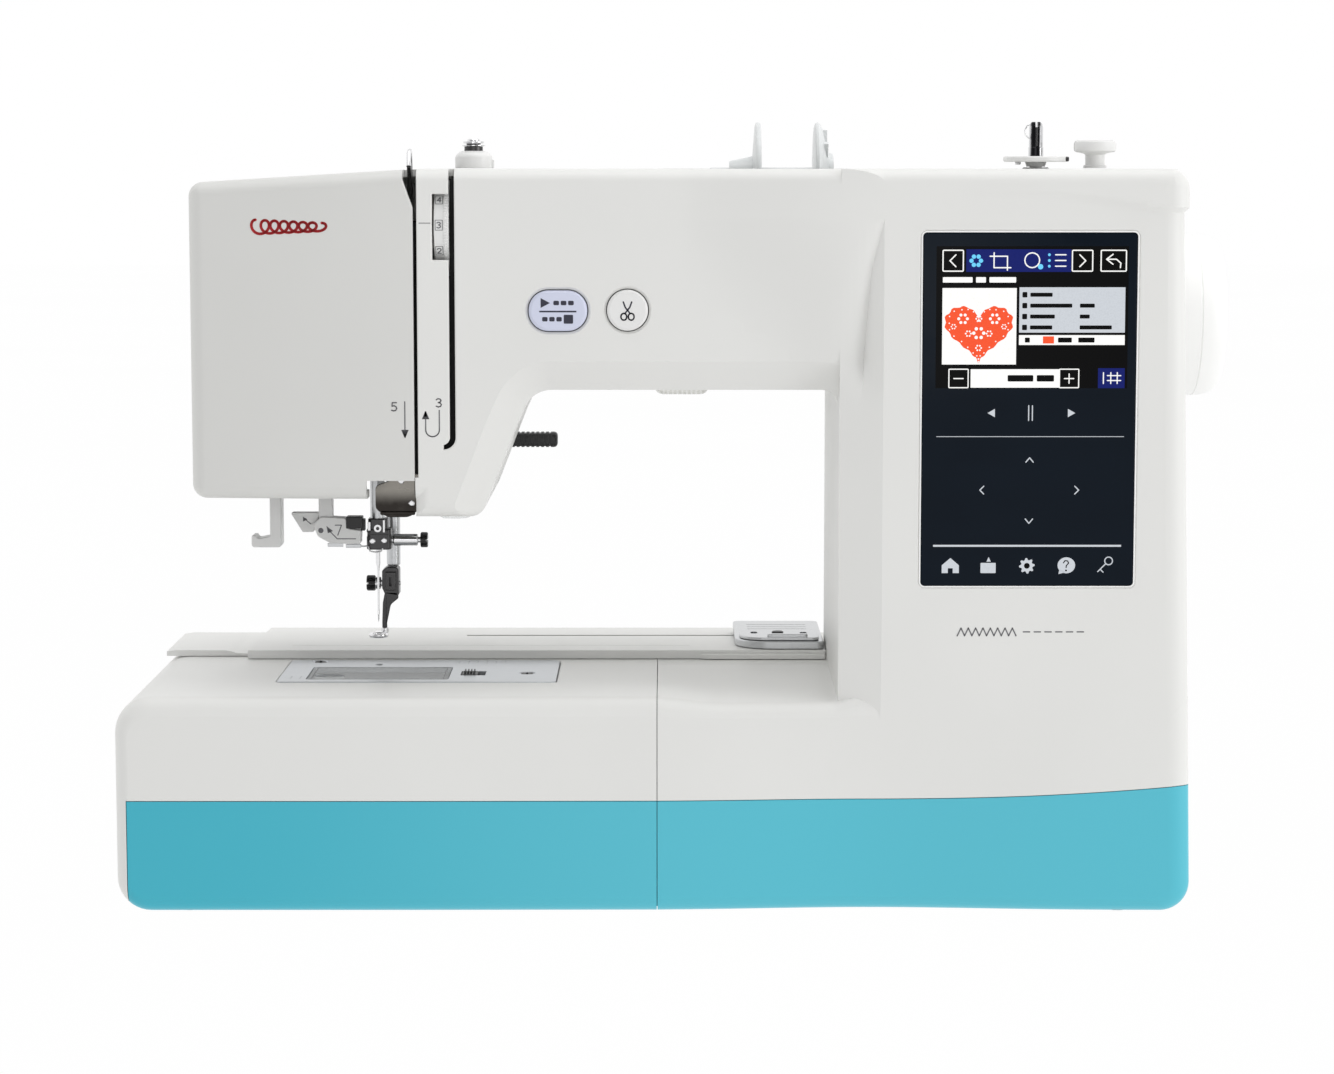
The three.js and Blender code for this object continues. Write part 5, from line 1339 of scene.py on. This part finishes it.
def make_presser():
    low, high = span("presser_bar")
    x, y = (low.x + high.x) / 2, (low.y + high.y) / 2
    radius = (high.x - low.x) / 2
    rod = turned("z", (x, y, 0), [(0, low.z), (radius - 0.4, low.z), (radius, low.z + 0.4), (radius, high.z - 0.5),
                                  (radius - 0.5, high.z), (0, high.z)])
    show("presser_rod", rod, brushed_steel, "presser", ["presser_bar"])
    low, high = span("embroidery_foot")
    floor, rest = low.z, low.z + 17.4
    left, right = x - 4.6, x + 2.7
    front = NEEDLE_Y + 7
    holder = join(slab("y", round_corners([(left + 1.2, rest + 0.4, 0.8), (right, rest - 0.6, 1),
                                           (right, high.z - 1.0, 1.4),
                                           (right - 1, high.z, 1), (left + 2, high.z, 0.8), (left, high.z - 1.6, 0.8),
                                           (left, rest + 3, 0.8)], 1), front, high.y, 0.5, 0.5),
                  block(left + 1.4, right - 1.2, front - 1.2, front + 1, rest + 2.2, high.z - 2, 0.4))
    window = block(left + 3.2, left + 4.3, front - 3, front + 2, rest + 4, rest + 8)
    show("foot_holder", cut(holder, window), dark_steel, "presser", ["embroidery_foot"], smooth=40)
    leg = [(right - 0.4, rest + 1.4, 0.8), (right - 0.2, rest - 1.4, 1.2), (right - 3.6, rest - 4.2, 2.5),
           (x - 2.6, floor + 5.0, 2), (x - 2.4, floor + 0.3, 0.5), (x - 4.7, floor + 0.3, 0.5),
           (x - 4.7, floor + 6, 1.5),
           (x - 4.4, rest - 3.4, 2), (left + 1.0, rest + 0.6, 1), (left + 1.6, rest + 1.6, 0.4)]
    show("foot_leg", slab("y", round_corners(leg, 1), front, front + 1.8, 0.5, 0.5), dark_steel, "presser",
         smooth=40)
    ring = turned("z", (NEEDLE_X, NEEDLE_Y, 0), [(2.4, floor + 0.5), (2.8, floor), (3.9, floor), (4.2, floor + 0.5),
                                                 (4.2, floor + 1.2), (3.9, floor + 1.6), (2.8, floor + 1.6),
                                                 (2.4, floor + 1.2)], 48)
    neck = block(NEEDLE_X - 2.2, x - 2.5, NEEDLE_Y + 3.2, front + 1.6, floor + 0.1, floor + 1.5, 0.4)
    show("foot_ring", join(ring, neck), bright_chrome, "presser", smooth=45)
    collar = bar("z", (x - 3.5, front + 0.8, 0), 1.6, floor + 0.6, floor + 3.2, 28, 0.3)
    pin = bar("x", (0, front + 3.4, rest + 5), 0.9, right - 0.5, right + 0.7, 24, 0.2)
    show("foot_pins", together(collar, pin), bright_chrome, "presser")
    low, high = span("foot_screw")
    centre = (0, (low.y + high.y) / 2, (low.z + high.z) / 2)
    head = cut(knurled("x", centre, 3.4, low.x, low.x + 3.8, 24, 0.4, 0.4),
               block(low.x - 1, low.x + 0.9, centre[1] - 5, centre[1] + 5, centre[2] - 0.45, centre[2] + 0.45))
    show("foot_screw_head", head, dark_steel, "presser_screw", ["foot_screw"], smooth=20)
    stem = turned("x", centre, [(0, low.x + 3.5), (2.6, low.x + 3.5), (2.8, low.x + 4), (2.8, low.x + 5.8),
                                (2.4, low.x + 6.3),
                                (1.6, low.x + 6.3), (1.6, high.x - 0.3), (1.3, high.x), (0, high.x)], 32)
    show("foot_screw_stem", stem, bright_chrome, "presser_screw")


def make_lifter():
    low, high = span("presser_lifter")
    x, z = (low.x + 8), (high.z - 8)
    grip = low.z + 3.4
    arm = join(slab("y", oval(x, z, 8, 8, 40), low.y, low.y + 5, 0.6, 0.6),
               slab("y", round_corners([(x - 6, z, 2), (x + 4, low.z, 4), (high.x - 20, low.z, 1),
                                        (high.x - 20, low.z + 6.8, 1),
                                        (x + 9, z, 5)], 1), low.y, low.y + 5, 0.5, 0.5),
               slab("x", rectangle(low.y, high.y, low.z, low.z + 6.8, 2.4), high.x - 24, high.x, 0.5, 1.6))
    ribs = [block(high.x - 4.0 - i * 2.2, high.x - 3.0 - i * 2.2, low.y - 3, high.y + 1, low.z - 1, low.z + 0.5)
            for i in range(8)]
    ribs += [block(high.x - 4.0 - i * 2.2, high.x - 3.0 - i * 2.2, low.y - 3, high.y + 1, low.z + 6.3, low.z + 8)
             for i in range(8)]
    ribs += [block(high.x - 4.0 - i * 2.2, high.x - 3.0 - i * 2.2, low.y - 3, low.y + 0.5, grip - 2.6, grip + 2.6)
             for i in range(8)]
    show("lifter_arm", cut(arm, *ribs), black_plastic, "lifter", ["presser_lifter"], smooth=35)


def make_take_up():
    low, high = span("take_up_lever")
    pivot = (high.y - 4, low.z + 5)
    tip = (low.y + 9, high.z)
    outline = round_corners([(pivot[0] - 4, pivot[1] - 5, 2), (pivot[0] + 4, pivot[1] - 3, 2),
                             (pivot[0] + 3, pivot[1] + 8, 3),
                             (tip[0] + 7, tip[1] - 6, 2), (tip[0] + 4, tip[1] - 0.6, 2),
                             (tip[0] - 1, tip[1] - 0.4, 2),
                             (tip[0] - 5, tip[1] - 8, 2), (tip[0] - 2, tip[1] - 10, 2),
                             (pivot[0] - 7, pivot[1] + 6, 4)], 1)
    plate = slab("x", outline, low.x, high.x, 0.3, 0.3)
    eye = bar("x", (0, tip[0] + 1.2, tip[1] - 4.2), 1.5, low.x - 1, high.x + 1, 24)
    slit = block(low.x - 1, high.x + 1, tip[0] - 6, tip[0] + 1, tip[1] - 4.8, tip[1] - 4.0)
    show("take_up_plate", cut(plate, eye, slit), dark_steel, "take_up", ["take_up_lever"], smooth=40)
    cap = [(low.x + 0.8, tip[0] - 4.6, tip[1] - 7), (low.x + 0.8, tip[0] - 1.6, tip[1] - 1.4),
           (low.x + 0.8, tip[0] + 1.4, tip[1] - 0.6), (low.x + 0.8, tip[0] + 4, tip[1] - 1.6)]
    show("take_up_wire", tube(cap, 1.0), bright_chrome, "take_up", smooth=60)


make_guard_plate()
make_lamps()
make_threader()
make_needle_bar()
make_presser()
make_lifter()
make_take_up()


# ------------------------------------------------------------------ bed
def make_needle_plate():
    low, high = span("needle_plate")
    cover_low, cover_high = span("hook_cover")
    release_low, release_high = span("cover_release")
    plate = slab("z", rectangle(low.x, high.x, low.y, high.y, 3), low.z, high.z, 0.2, 0.5)
    screws = ((low.x + 13, high.y - 5), (high.x - 13, low.y + 24))
    tools = [prism("z", rectangle(cover_low.x - 0.3, cover_high.x + 0.3, cover_low.y - 0.3, cover_high.y + 0.3, 2.2),
                   low.z - 1,
                   high.z + 1),
             block(release_low.x - 0.3, release_high.x + 3.3, release_low.y - 0.3, release_high.y + 0.3, low.z - 1,
                   high.z + 1),
             turned("z", (NEEDLE_X, NEEDLE_Y, 0),
                    [(0, low.z - 1), (1.8, low.z - 1), (1.8, high.z - 0.6), (2.6, high.z + 0.2),
                                                   (0, high.z + 0.2)], 32)]
    tools += [turned("z", (x, y, 0), [(0, high.z - 1), (3.0, high.z - 1), (3.8, high.z + 0.1), (0, high.z + 0.1)], 32)
              for x, y in screws]
    tools += [block(high.x - 24 - i * 4, high.x - 23.6 - i * 4, high.y - 12, high.y - (5 if i % 2 else 3),
                    high.z - 0.15,
                    high.z + 1) for i in range(6)]
    tools += [block(low.x + 5 + i * 4, low.x + 5.4 + i * 4, low.y + 8, low.y + 14, high.z - 0.15,
                    high.z + 1) for i in range(2)]
    show("stitch_plate", cut(plate, *tools), plate_steel, instead_of=["needle_plate"], smooth=25)
    heads = [screw("z", (x, y, 0), 2.8, high.z - 0.9, high.z - 0.1, 2) for x, y in screws]
    show("plate_screws", together(*heads), dark_steel)


def make_hook_cover():
    low, high = span("hook_cover")
    plate = slab("z", rectangle(low.x, high.x, low.y, high.y, 2), low.z, high.z, 0.2, 0.4)
    finger = slab("z", oval(low.x + 9, low.y + 10, 6.5, 5, 32), high.z + 1, high.z - 0.7, 0, 0.6)
    show("clear_cover", cut(plate, finger), clear_plastic, "hook_cover", ["hook_cover"], smooth=25)
    frame_strip = [[(low.x + 2, low.y + 2), (high.x - 2, low.y + 2), (high.x - 2, high.y - 2),
                    (low.x + 2, high.y - 2),
                    (low.x + 2, low.y + 2)]]
    show("cover_lines", marks(frame_strip, 0.3, lambda a, b: (a, b, high.z + 0.05)), mark_grey, "hook_cover")
    low, high = span("cover_release")
    ribs = [block(low.x + 1.2 + i * 1.3, low.x + 1.8 + i * 1.3, low.y + 2, high.y - 2, high.z - 1.4, high.z, 0.2)
            for i in range(4)]
    slider = block(low.x, high.x, low.y, high.y, low.z, high.z - 1.2, 0.4)
    show("release_slider", join(slider, *ribs), black_plastic, "cover_release", ["cover_release"])


def make_embroidery_unit():
    low, high = span("embroidery_unit_cover")
    carriage_low, carriage_high = span("embroidery_carriage")
    slot_y = (low.y + 12 + 39, low.y + 12 + 43)
    front, top = low.y - 1, low.z + 3.7
    back = [(low.y + 26, top), (high.y, low.z + 1.4), (high.y, low.z)]
    profile = [(front, low.z), (front, top - 0.5), (front + 0.5, top), *back]
    table = prism("x", profile, LEFT + 42, high.x)
    step = slab("z", round_corners([(high.x - 58, front - 2, 14), (high.x, front - 2, 1), (high.x, front + 12, 1),
                                    (high.x - 58, front + 12, 1)], 1), low.z, low.z + 2.2, 0.2, 0.8, 4)
    wing = loft([[(x, y, z) for x, z in ((low.x, low.z), (LEFT + 43, low.z), (LEFT + 43, low.z + 1.1),
                                         (LEFT + 36, low.z + 1.2), (LEFT + 33.5, low.z + 2.1),
                                         (LEFT + 31, low.z + 2.5),
                                         (low.x + 4, low.z + 2.6), (low.x, low.z + 2))] for y in (front + 8,
                                                                                                  high.y - 24)])
    rail = block(carriage_low.x - 122, high.x - 5, slot_y[0], slot_y[1], low.z + 1.2, high.z + 1)
    groove = block(LEFT + 60, high.x - 60, front + 14, front + 14.6, top - 0.4, high.z + 1)
    show("unit_housing", cut(join(table, step, wing), rail, groove), casing_white,
         instead_of=["embroidery_unit_cover"])
    show("unit_rail", block(carriage_low.x - 121, high.x - 6, slot_y[0] + 0.1, slot_y[1] - 0.1, low.z + 1.3,
                            low.z + 1.9),
         dark_steel)
    low, high = carriage_low, carriage_high
    sled = slab("z", round_corners([(low.x, low.y - 1, 16), (high.x, low.y - 1, 3), (high.x, high.y - 12, 3),
                                    (low.x, high.y - 12, 3)], 3), top + 0.3, high.z, 0.2, 0.7, 4)
    neck = block(low.x + 12, low.x + 28, slot_y[0] + 0.5, slot_y[1] - 0.5, low.z, top + 1)
    lines = [block(low.x + 6, high.x - 6, low.y + 40 + i * 7, low.y + 40.8 + i * 7, high.z - 0.4,
                   high.z + 3) for i in range(3)]
    show("unit_sled", cut(join(sled, neck), *lines), brushed_steel, "carriage", ["embroidery_carriage"])
    low, high = span("hoop_connector")
    base = low.z
    arm = slab("z", round_corners([(low.x, low.y, 12), (high.x, low.y, 3), (high.x, high.y, 3), (low.x, high.y, 3)],
                                  3),
               base, base + 1.3, 0.2, 0.5, 4)
    lip = slab("z", rectangle(low.x + 12, high.x - 5, low.y + 1, low.y + 4, 1.2), base + 1.0, high.z, 0.2, 0.6)
    slots = [prism("z", rectangle(low.x + 5, low.x + 8, low.y + 13, low.y + 19, 1.4), base - 1, base + 2),
             prism("z", rectangle(high.x - 8, high.x - 5, low.y + 9, low.y + 18, 1.4), base - 1, base + 2)]
    show("hoop_clip", cut(join(arm, lip), *slots), brushed_steel, "hoop_connector", ["hoop_connector"])
    knob = turned("z", (low.x + 17, low.y + 14, 0), [(0, base + 1.2), (2.6, base + 1.2), (2.6, base + 2),
                                                     (2.1, base + 2.3), (0, base + 2.3)], 28)
    show("hoop_stud", knob, black_plastic, "hoop_connector")


make_needle_plate()
make_hook_cover()
make_embroidery_unit()


# ------------------------------------------------------------------ top: spool, winder, guides
def make_spool_stand():
    low, high = span("top_cover")
    tray = slab("z", rectangle(low.x, high.x, low.y, high.y, 3), low.z, high.z, 1.5, 0.4)
    inner = slab("z", rectangle(low.x + 2, high.x - 2, low.y + 2, high.y - 2, 2.4), low.z + 2, high.z + 1, 1.2, 0)
    felt_slot = [block(low.x + 10 + i * 6, low.x + 11 + i * 6, low.y + 8, high.y - 8, low.z + 1.4,
                       low.z + 3) for i in range(3)]
    show("spool_tray", cut(tray, inner, *felt_slot), casing_white, instead_of=["top_cover"])
    low, high = span("spool_stand")
    y, z = (low.y + high.y) / 2, (low.z + high.z) / 2
    disc = high.x - 8.2
    radius = (high.z - low.z) / 2
    stand = turned("x", (0, y, z), [
        (0, low.x), (2.2, low.x + 0.2), (3, low.x + 1.2), (3, disc), (radius - 1.6, disc), (radius - 0.4, disc + 0.5),
        (radius, disc + 1.4), (radius - 0.6, disc + 2.4), (radius - 3, disc + 3.6), (12, disc + 5), (9.6, disc + 6),
        (9, disc + 8.0), (8.6, disc + 8.2), (0, disc + 8.2)], 72)
    ribs = [turned_by(block(disc + 1, disc + 5.6, y - 0.7, y + 0.7, z + 8, z + radius - 3.4), turn * 45, "X",
                      (0, y, z))
            for turn in range(8)]
    show("spool_stand_disc", join(stand, *ribs), translucent_white, instead_of=["spool_stand"])
    low, high = span("spool_cap")
    disc = high.x - 1.5
    cap = turned("x", (0, y, z), [
        (3.4, low.x), (5.6, low.x), (6, low.x + 0.5), (6.6, low.x + 4), (8, disc - 2), (radius - 1.5, disc - 1),
        (radius - 0.3, disc - 0.5), (radius, disc), (radius, disc + 1), (radius - 0.5, disc + 1.5),
        (3.4, disc + 1.5)], 72)
    show("spool_cap_disc", cap, translucent_white, "spool_cap", ["spool_cap"])


def make_pretension():
    low, high = span("pretension_guide")
    x, y = (low.x + high.x) / 2, (low.y + high.y) / 2
    base = low.z
    seat = turned("z", (x, y, 0), [(0, base), (7.6, base), (7.8, base + 0.4), (7.8, base + 4.4), (7.4, base + 5.4),
                                   (6.2, base + 6.6), (4.6, base + 7.2), (0, base + 7.3)], 48)
    hook = join(seat, block(x + 5, x + 8.6, y - 1.6, y + 1.6, base, base + 3.6, 0.5))
    show("pretension_base", hook, trim_white, instead_of=["pretension_guide"])
    neck = turned("z", (x, y, 0), [(0, base + 7), (3.9, base + 7), (3.9, base + 8.9), (3.0, base + 9),
                                   (3.0, base + 10.4),
                                   (0, base + 10.4)], 40)
    show("pretension_neck", neck, dark_steel)
    discs = together(*[turned("z", (x, y, 0),
                              [(2.6, low_z), (4.2, low_z + 0.1), (radius, low_z + 0.5), (radius, low_z + 0.8),
                                              (4.2, high_z - 0.1), (2.6, high_z)], 48)
                       for low_z, high_z, radius in ((base + 8.8, base + 9.8, 4.9),
                                                     (base + 10.2, high.z - 0.9, 4.5))])
    show("pretension_discs", discs, bright_chrome, smooth=25)
    cap = turned("z", (x, y, 0), [(0, high.z - 1.2), (2.6, high.z - 1.2), (2.6, high.z - 0.4), (2.2, high.z),
                                  (0, high.z)], 32)
    show("pretension_cap", cap, bright_chrome)


def pin_material():
    """Polished steel whose colour goes dark along a strip down the middle of the pin."""
    finish = Finish("winder_pin_steel", (0.7, 0.7, 0.71), 0.14, 1.0)
    across = finish.node("ShaderNodeSeparateXYZ", {}, {0: finish.place()}) + finish.noise(300, 2) * 0.0006
    left = across.between((WINDER.x - 2.5) * MM, (WINDER.x - 1.7) * MM)
    right = across.between((WINDER.x + 2.6) * MM, (WINDER.x + 1.4) * MM)
    finish.feed("Base Color", finish.tint(left * right, (0.7, 0.7, 0.71), (0.02, 0.02, 0.022)))
    finish.feed("Roughness", finish.noise(90, 3) * 0.12 + 0.08)
    finish.bump(finish.noise(900, 2), 0.03, 0.02)
    return finish.material


def make_winder():
    low, high = span("winder_arm")
    x, y = WINDER.x, WINDER.y
    arm_top = low.z + 4
    arm = join(slab("z", rectangle(x - 6, x + 6, y - 6, high.y, 5.8), low.z, arm_top, 0.5, 0.5),
               bar("z", (x, y, 0), 5.6, low.z, high.z, 40, 0.4))
    show("winder_lever", cut(arm, bar("z", (x, y, 0), 3.0, low.z - 1, high.z + 1)), trim_white, "winder_arm",
         ["winder_arm"])
    boss_top = high.z + CLEARANCE
    low, high = span("winder_spindle")
    radius = (high.x - low.x) / 2
    plate = max(ARM_TOP + 2.9, boss_top + 0.6)
    disc = turned("z", (x, y, 0), [
        (2.6, low.z), (2.6, boss_top), (3.9, boss_top), (4.6, plate), (radius - 0.5, plate),
        (radius, plate + 0.5), (radius, plate + 1.9), (radius - 0.5, plate + 2.4), (2.0, plate + 2.4), (2.0, low.z)],
        56)
    show("winder_plate", disc, trim_white, "winder_spindle", ["winder_spindle"])
    spindle = turned("z", (x, y, 0), [
        (0, low.z + 4), (1.9, low.z + 4), (1.9, plate + 2.4), (3.2, plate + 2.5), (3.2, plate + 6),
        (3.0, plate + 6.3),
        (3.0, high.z - 2.4), (2.6, high.z - 0.8), (1.8, high.z), (0, high.z)], 40)
    slit = block(x - 0.5, x + 0.5, y - 5, y + 5, plate + 7, high.z + 1)
    show("winder_pin", cut(spindle, slit), pin_material(), "winder_spindle")
    blade = block(x - 0.32, x + 0.32, y - 3.6, y + 3.0, plate + 6.6, high.z - 2.2, 0.15)
    show("winder_pin_spring", blade, dark_steel, "winder_spindle")
    nub = bar("x", (0, y - 6, plate + 1.2), 1.0, x + 5, x + radius - 0.4, 20, 0.2)
    show("winder_nub", nub, dark_steel, "winder_spindle", smooth=50)
    studs = together(bar("z", (x - 8, y - 4, 0), 1.2, plate - 1.1, plate + 0.2, 20, 0.2),
                     tube([(x - 3.1, y - 1, high.z - 7), (x - 4.6, y - 1.6, high.z - 5.6),
                           (x - 5.0, y - 1.8, high.z - 3.6),
                           (x - 4.0, y - 1.6, high.z - 1.6), (x - 2.6, y - 1, high.z - 1)], 0.3))
    show("winder_studs", studs, bright_chrome, "winder_spindle", smooth=50)
    low, high = span("winder_stopper")
    x, y = (low.x + high.x) / 2, (low.y + high.y) / 2
    stopper = turned("z", (x, y, 0), [
        (0, low.z), (4.9, low.z), (4.9, low.z + 1.0), (4.1, low.z + 1.4), (4.1, low.z + 5.6), (5.0, low.z + 6.2),
        (8.2, low.z + 6.8), (8.9, low.z + 7.4), (9, low.z + 8.4), (9, low.z + 10.2), (8.6, low.z + 11.2),
        (7.6, low.z + 11.8), (0, high.z)], 56)
    notch = block(x - 12, x - 7.4, y - 1.4, y + 1.4, low.z + 5.5, high.z + 1)
    show("winder_stop", cut(stopper, notch), trim_white, instead_of=["winder_stopper"])


make_spool_stand()
make_pretension()
make_winder()


# ------------------------------------------------------------------ sides and rear
def make_handwheel():
    low, high = span("handwheel")
    y, z = (low.y + high.y) / 2, (low.z + high.z) / 2
    radius = (high.z - low.z) / 2
    rim = high.x - 25
    profile = [(5.3, low.x), (8, low.x), (8, rim + 2), (radius - 5, rim + 2), (radius - 3, rim + 0.6),
               (radius - 1.5, rim),
               (radius - 0.4, rim + 0.6), (radius, rim + 2), (radius, high.x - 12), (radius - 0.35, high.x - 11.8),
               (radius - 0.35, high.x - 11.3), (radius, high.x - 11.1), (radius - 0.2, high.x - 7.5),
               (radius - 1.1, high.x - 4), (radius - 2.6, high.x - 1.8), (radius - 5, high.x - 0.5),
               (radius - 8, high.x),
               (radius - 9.5, high.x - 0.3), (radius - 10.6, high.x - 1.2), (12, high.x - 2.4), (0, high.x - 2.8),
               (0, rim + 8.3), (5.3, rim + 8.3), (5.3, low.x)]
    show("balance_wheel", turned("x", (0, y, z), profile, 96), wheel_white, "main_drive", ["handwheel"],
         smooth=26)


def make_handle():
    low, high = span("carry_handle")
    arms = []
    for x0 in (low.x, high.x - HANDLE_ARM):
        arms.append(slab("x", round_corners([(low.y, high.z - 8, 3.9), (high.y, high.z - 8, 1), (high.y, high.z, 3),
                                             (low.y, high.z, 3.9)], 1, 8), x0, x0 + HANDLE_ARM, 0.8, 0.8))
    grip = slab("x", rectangle(high.y - 12, high.y, low.z, high.z, 3.6, 8), low.x, high.x, 1.0, 1.0)
    hollow = slab("x", rectangle(high.y - 9, high.y - 3, low.z - 1, low.z + 4, 1.5), low.x + 14, high.x - 14, 0.5,
                  0.5)
    show("handle_bow", cut(join(*arms, grip), hollow), trim_white, "carry_handle", ["carry_handle"],
         smooth=35)
    pins = [bar("x", (0, HANDLE_PIVOT_Y, high.z - 4), 2.2, x, x + 1.2, 28, 0.3) for x in (low.x - 0.9, high.x - 0.3)]
    show("handle_pins", together(*pins), dark_steel, "carry_handle")


def make_power():
    low, high = span("power_inlet")
    y, z = INLET.y, INLET.z
    face = high.x
    flange = slab("x", rectangle(y - 14, y + 14, z - 11, z + 11, 2), face - 6, face, 0.3, 0.6)
    barrel = block(face - 17.5, face - 5, y - 13, y + 13, z - 10, z + 10)
    tail_block = block(low.x, face - 16.5, y - 10, y + 10, z - 7, z + 7)
    mouth = slab("x", round_corners([(y - 10.5, z - 7), (y + 10.5, z - 7), (y + 10.5, z + 3.5), (y + 7, z + 7),
                                     (y - 7, z + 7), (y - 10.5, z + 3.5)], 1.2), face - 14.5, face + 1, 0.3, 0)
    show("inlet_shell", cut(join(flange, barrel, tail_block), mouth), black_plastic, instead_of=["power_inlet"])
    blades = [slab("x", rectangle(y + dy - 0.9, y + dy + 0.9, z + dz - 2.2, z + dz + 2.2, 0.5), face - 15, face - 4,
                   0.2, 0.5)
              for dy, dz in ((-6, -1.6), (0, 1.6), (6, -1.6))]
    show("inlet_pins", together(*blades), brushed_steel)
    low, high = span("power_switch")
    y, z = SWITCH.y, SWITCH.z
    side = high.x - 1
    rocker = round_corners([(side - 8, z - 8, 0.5), (side - 1, z - 9.5, 0.8), (side - 2.2, z, 9),
                            (side + 1, z + 9.5, 0.8),
                            (side - 8, z + 8, 0.5)], 1, 8)
    show("switch_rocker", slab("y", rocker, y - 7.2, y + 7.2, 0.6, 0.6), black_plastic, "power_switch",
         ["power_switch"],
         smooth=40)
    line = [[(y - 2, z + 5), (y + 2, z + 5)]]
    ring = [ring_line(oval(y, z - 4.6, 1.7, 1.7, 20))]

    def on_rocker(a, b):
        return (side - 2.2 + (b - z) * (0.337 if b > z else -0.126) + 0.12, a, b)
    show("switch_marks", marks(line + ring, 0.6, on_rocker), mark_white, "power_switch")
    low, high = span("thread_cutter")
    body = block(low.x, high.x, low.y, high.y, low.z, high.z, 0.6)
    notch = block(low.x - 1, high.x + 1, low.y + 5, low.y + 6, low.z + 1.6, high.z + 1)
    show("side_cutter", cut(body, notch), trim_white, instead_of=["thread_cutter"])
    edge = block(low.x + 0.8, low.x + 1.1, low.y + 5.1, low.y + 5.9, low.z + 1.8, high.z - 0.6)
    show("side_cutter_blade", edge, brushed_steel)


def make_feet():
    for node in ("foot_front_left", "foot_front_right", "foot_rear_left", "foot_rear_right"):
        low, high = span(node)
        x, y = (low.x + high.x) / 2, (low.y + high.y) / 2
        radius = (high.x - low.x) / 2
        profile = [(0, 0.4), (4, 0.4), (4.6, 0), (radius - 1.2, 0), (radius - 0.3, 0.5), (radius, 1.2), (radius, 1.7),
                   (radius - 0.6, 2.2), (3, 2.2), (3, high.z), (0, high.z)]
        show(node.replace("foot", "rubber"), turned("z", (x, y, 0), profile, 40), foot_rubber, instead_of=[node])


make_handwheel()
make_handle()
make_power()
make_feet()


# ------------------------------------------------------------------ inner pieces
for name, finish in {
        "base_plate": grey_plastic, "main_frame": cast_metal, "shaft_bush_left": brushed_steel,
        "shaft_bush_right": brushed_steel, "upper_shaft": brushed_steel, "shaft_pulley": black_plastic,
        "drive_motor": dark_steel, "motor_pulley": brushed_steel, "timing_belt": foot_rubber,
        "lower_shaft": brushed_steel, "rotary_hook": brushed_steel, "bobbin_case": black_plastic,
        "bobbin": clear_plastic, "display_module": board_green}.items():
    keep(name, finish)


# ------------------------------------------------------------------ stage, light and camera
# Places and sizes in this section are metres, and powers are watts.
EYE_SIDE, EYE_DISTANCE, EYE_HEIGHT = -0.0054, 1.350, 0.3091
LOOK_DOWN = 6.365     # degrees
LENS, SENSOR = 90, 36  # millimetres


def make_stage():
    reach = 9             # in metres
    floor = mesh_from([(-reach, -reach, 0), (reach, -reach, 0), (reach, reach, 0), (-reach, reach, 0)],
                      [(0, 1, 2, 3)], "floor")
    finish = Finish("light_table", (0, 0, 0), 1.0, Emission_Strength=1.0, Specular_IOR_Level=0.0)
    finish.feed("Emission Color", finish.tint(finish.noise(2, 1), (0.99, 0.99, 0.99), (1, 1, 1)))
    floor.materials.append(finish.material)
    piece = bpy.data.objects.new("floor", floor)
    bpy.context.scene.collection.objects.link(piece)
    world = bpy.data.worlds.new("studio")
    bpy.context.scene.world = world
    world.use_nodes = True
    tree = Tree(world.node_tree)
    way = tree.node("ShaderNodeTexCoord", output="Generated")
    across = tree.node("ShaderNodeSeparateXYZ", {}, {0: way}, output=1)
    up = tree.node("ShaderNodeSeparateXYZ", {}, {0: way}, output=2)
    room = across.between(0.1, -0.8) * (up * -0.5 + 0.9)
    sky = tree.tint(room, (1, 1, 1), (0.20, 0.20, 0.21))
    world.node_tree.links.new(sky.socket, world.node_tree.nodes["Background"].inputs[0])


def area_light(name, place, target, width, height, watts):
    light = bpy.data.lights.new(name, "AREA")
    light.shape = "RECTANGLE"
    light.size, light.size_y, light.energy = width, height, watts
    lamp = bpy.data.objects.new(name, light)
    lamp.location = place
    lamp.rotation_euler = (Vector(target) - Vector(place)).to_track_quat("-Z", "Y").to_euler()
    bpy.context.scene.collection.objects.link(lamp)


def make_camera():
    """The eye stands in front of the machine, level with its top, and looks slightly down."""
    data = bpy.data.cameras.new("camera")
    data.lens, data.sensor_width = LENS, SENSOR
    data.clip_start, data.clip_end = 0.05, 50
    camera = bpy.data.objects.new("camera", data)
    camera.location = (EYE_SIDE, FRONT * MM - EYE_DISTANCE, EYE_HEIGHT)
    camera.rotation_euler = (math.radians(90 - LOOK_DOWN), 0, 0)
    bpy.context.scene.collection.objects.link(camera)
    bpy.context.scene.camera = camera


make_stage()
area_light("key", (0.4, -1.6, 2.3), (0, 0, 0.15), 1.8, 1.2, 1.6)
area_light("top", (0.1, -0.2, 2.2), (0, -0.05, 0.1), 2.0, 1.2, 12)
area_light("low", (-0.05, -1.2, 0.3), (0.12, -0.05, 0.1), 0.6, 0.3, 0.7)
area_light("right", (2.0, -1.0, 0.6), (0.1, -0.05, 0.2), 1.0, 1.4, 15)
make_camera()
bpy.context.scene.view_settings.view_transform = "Standard"
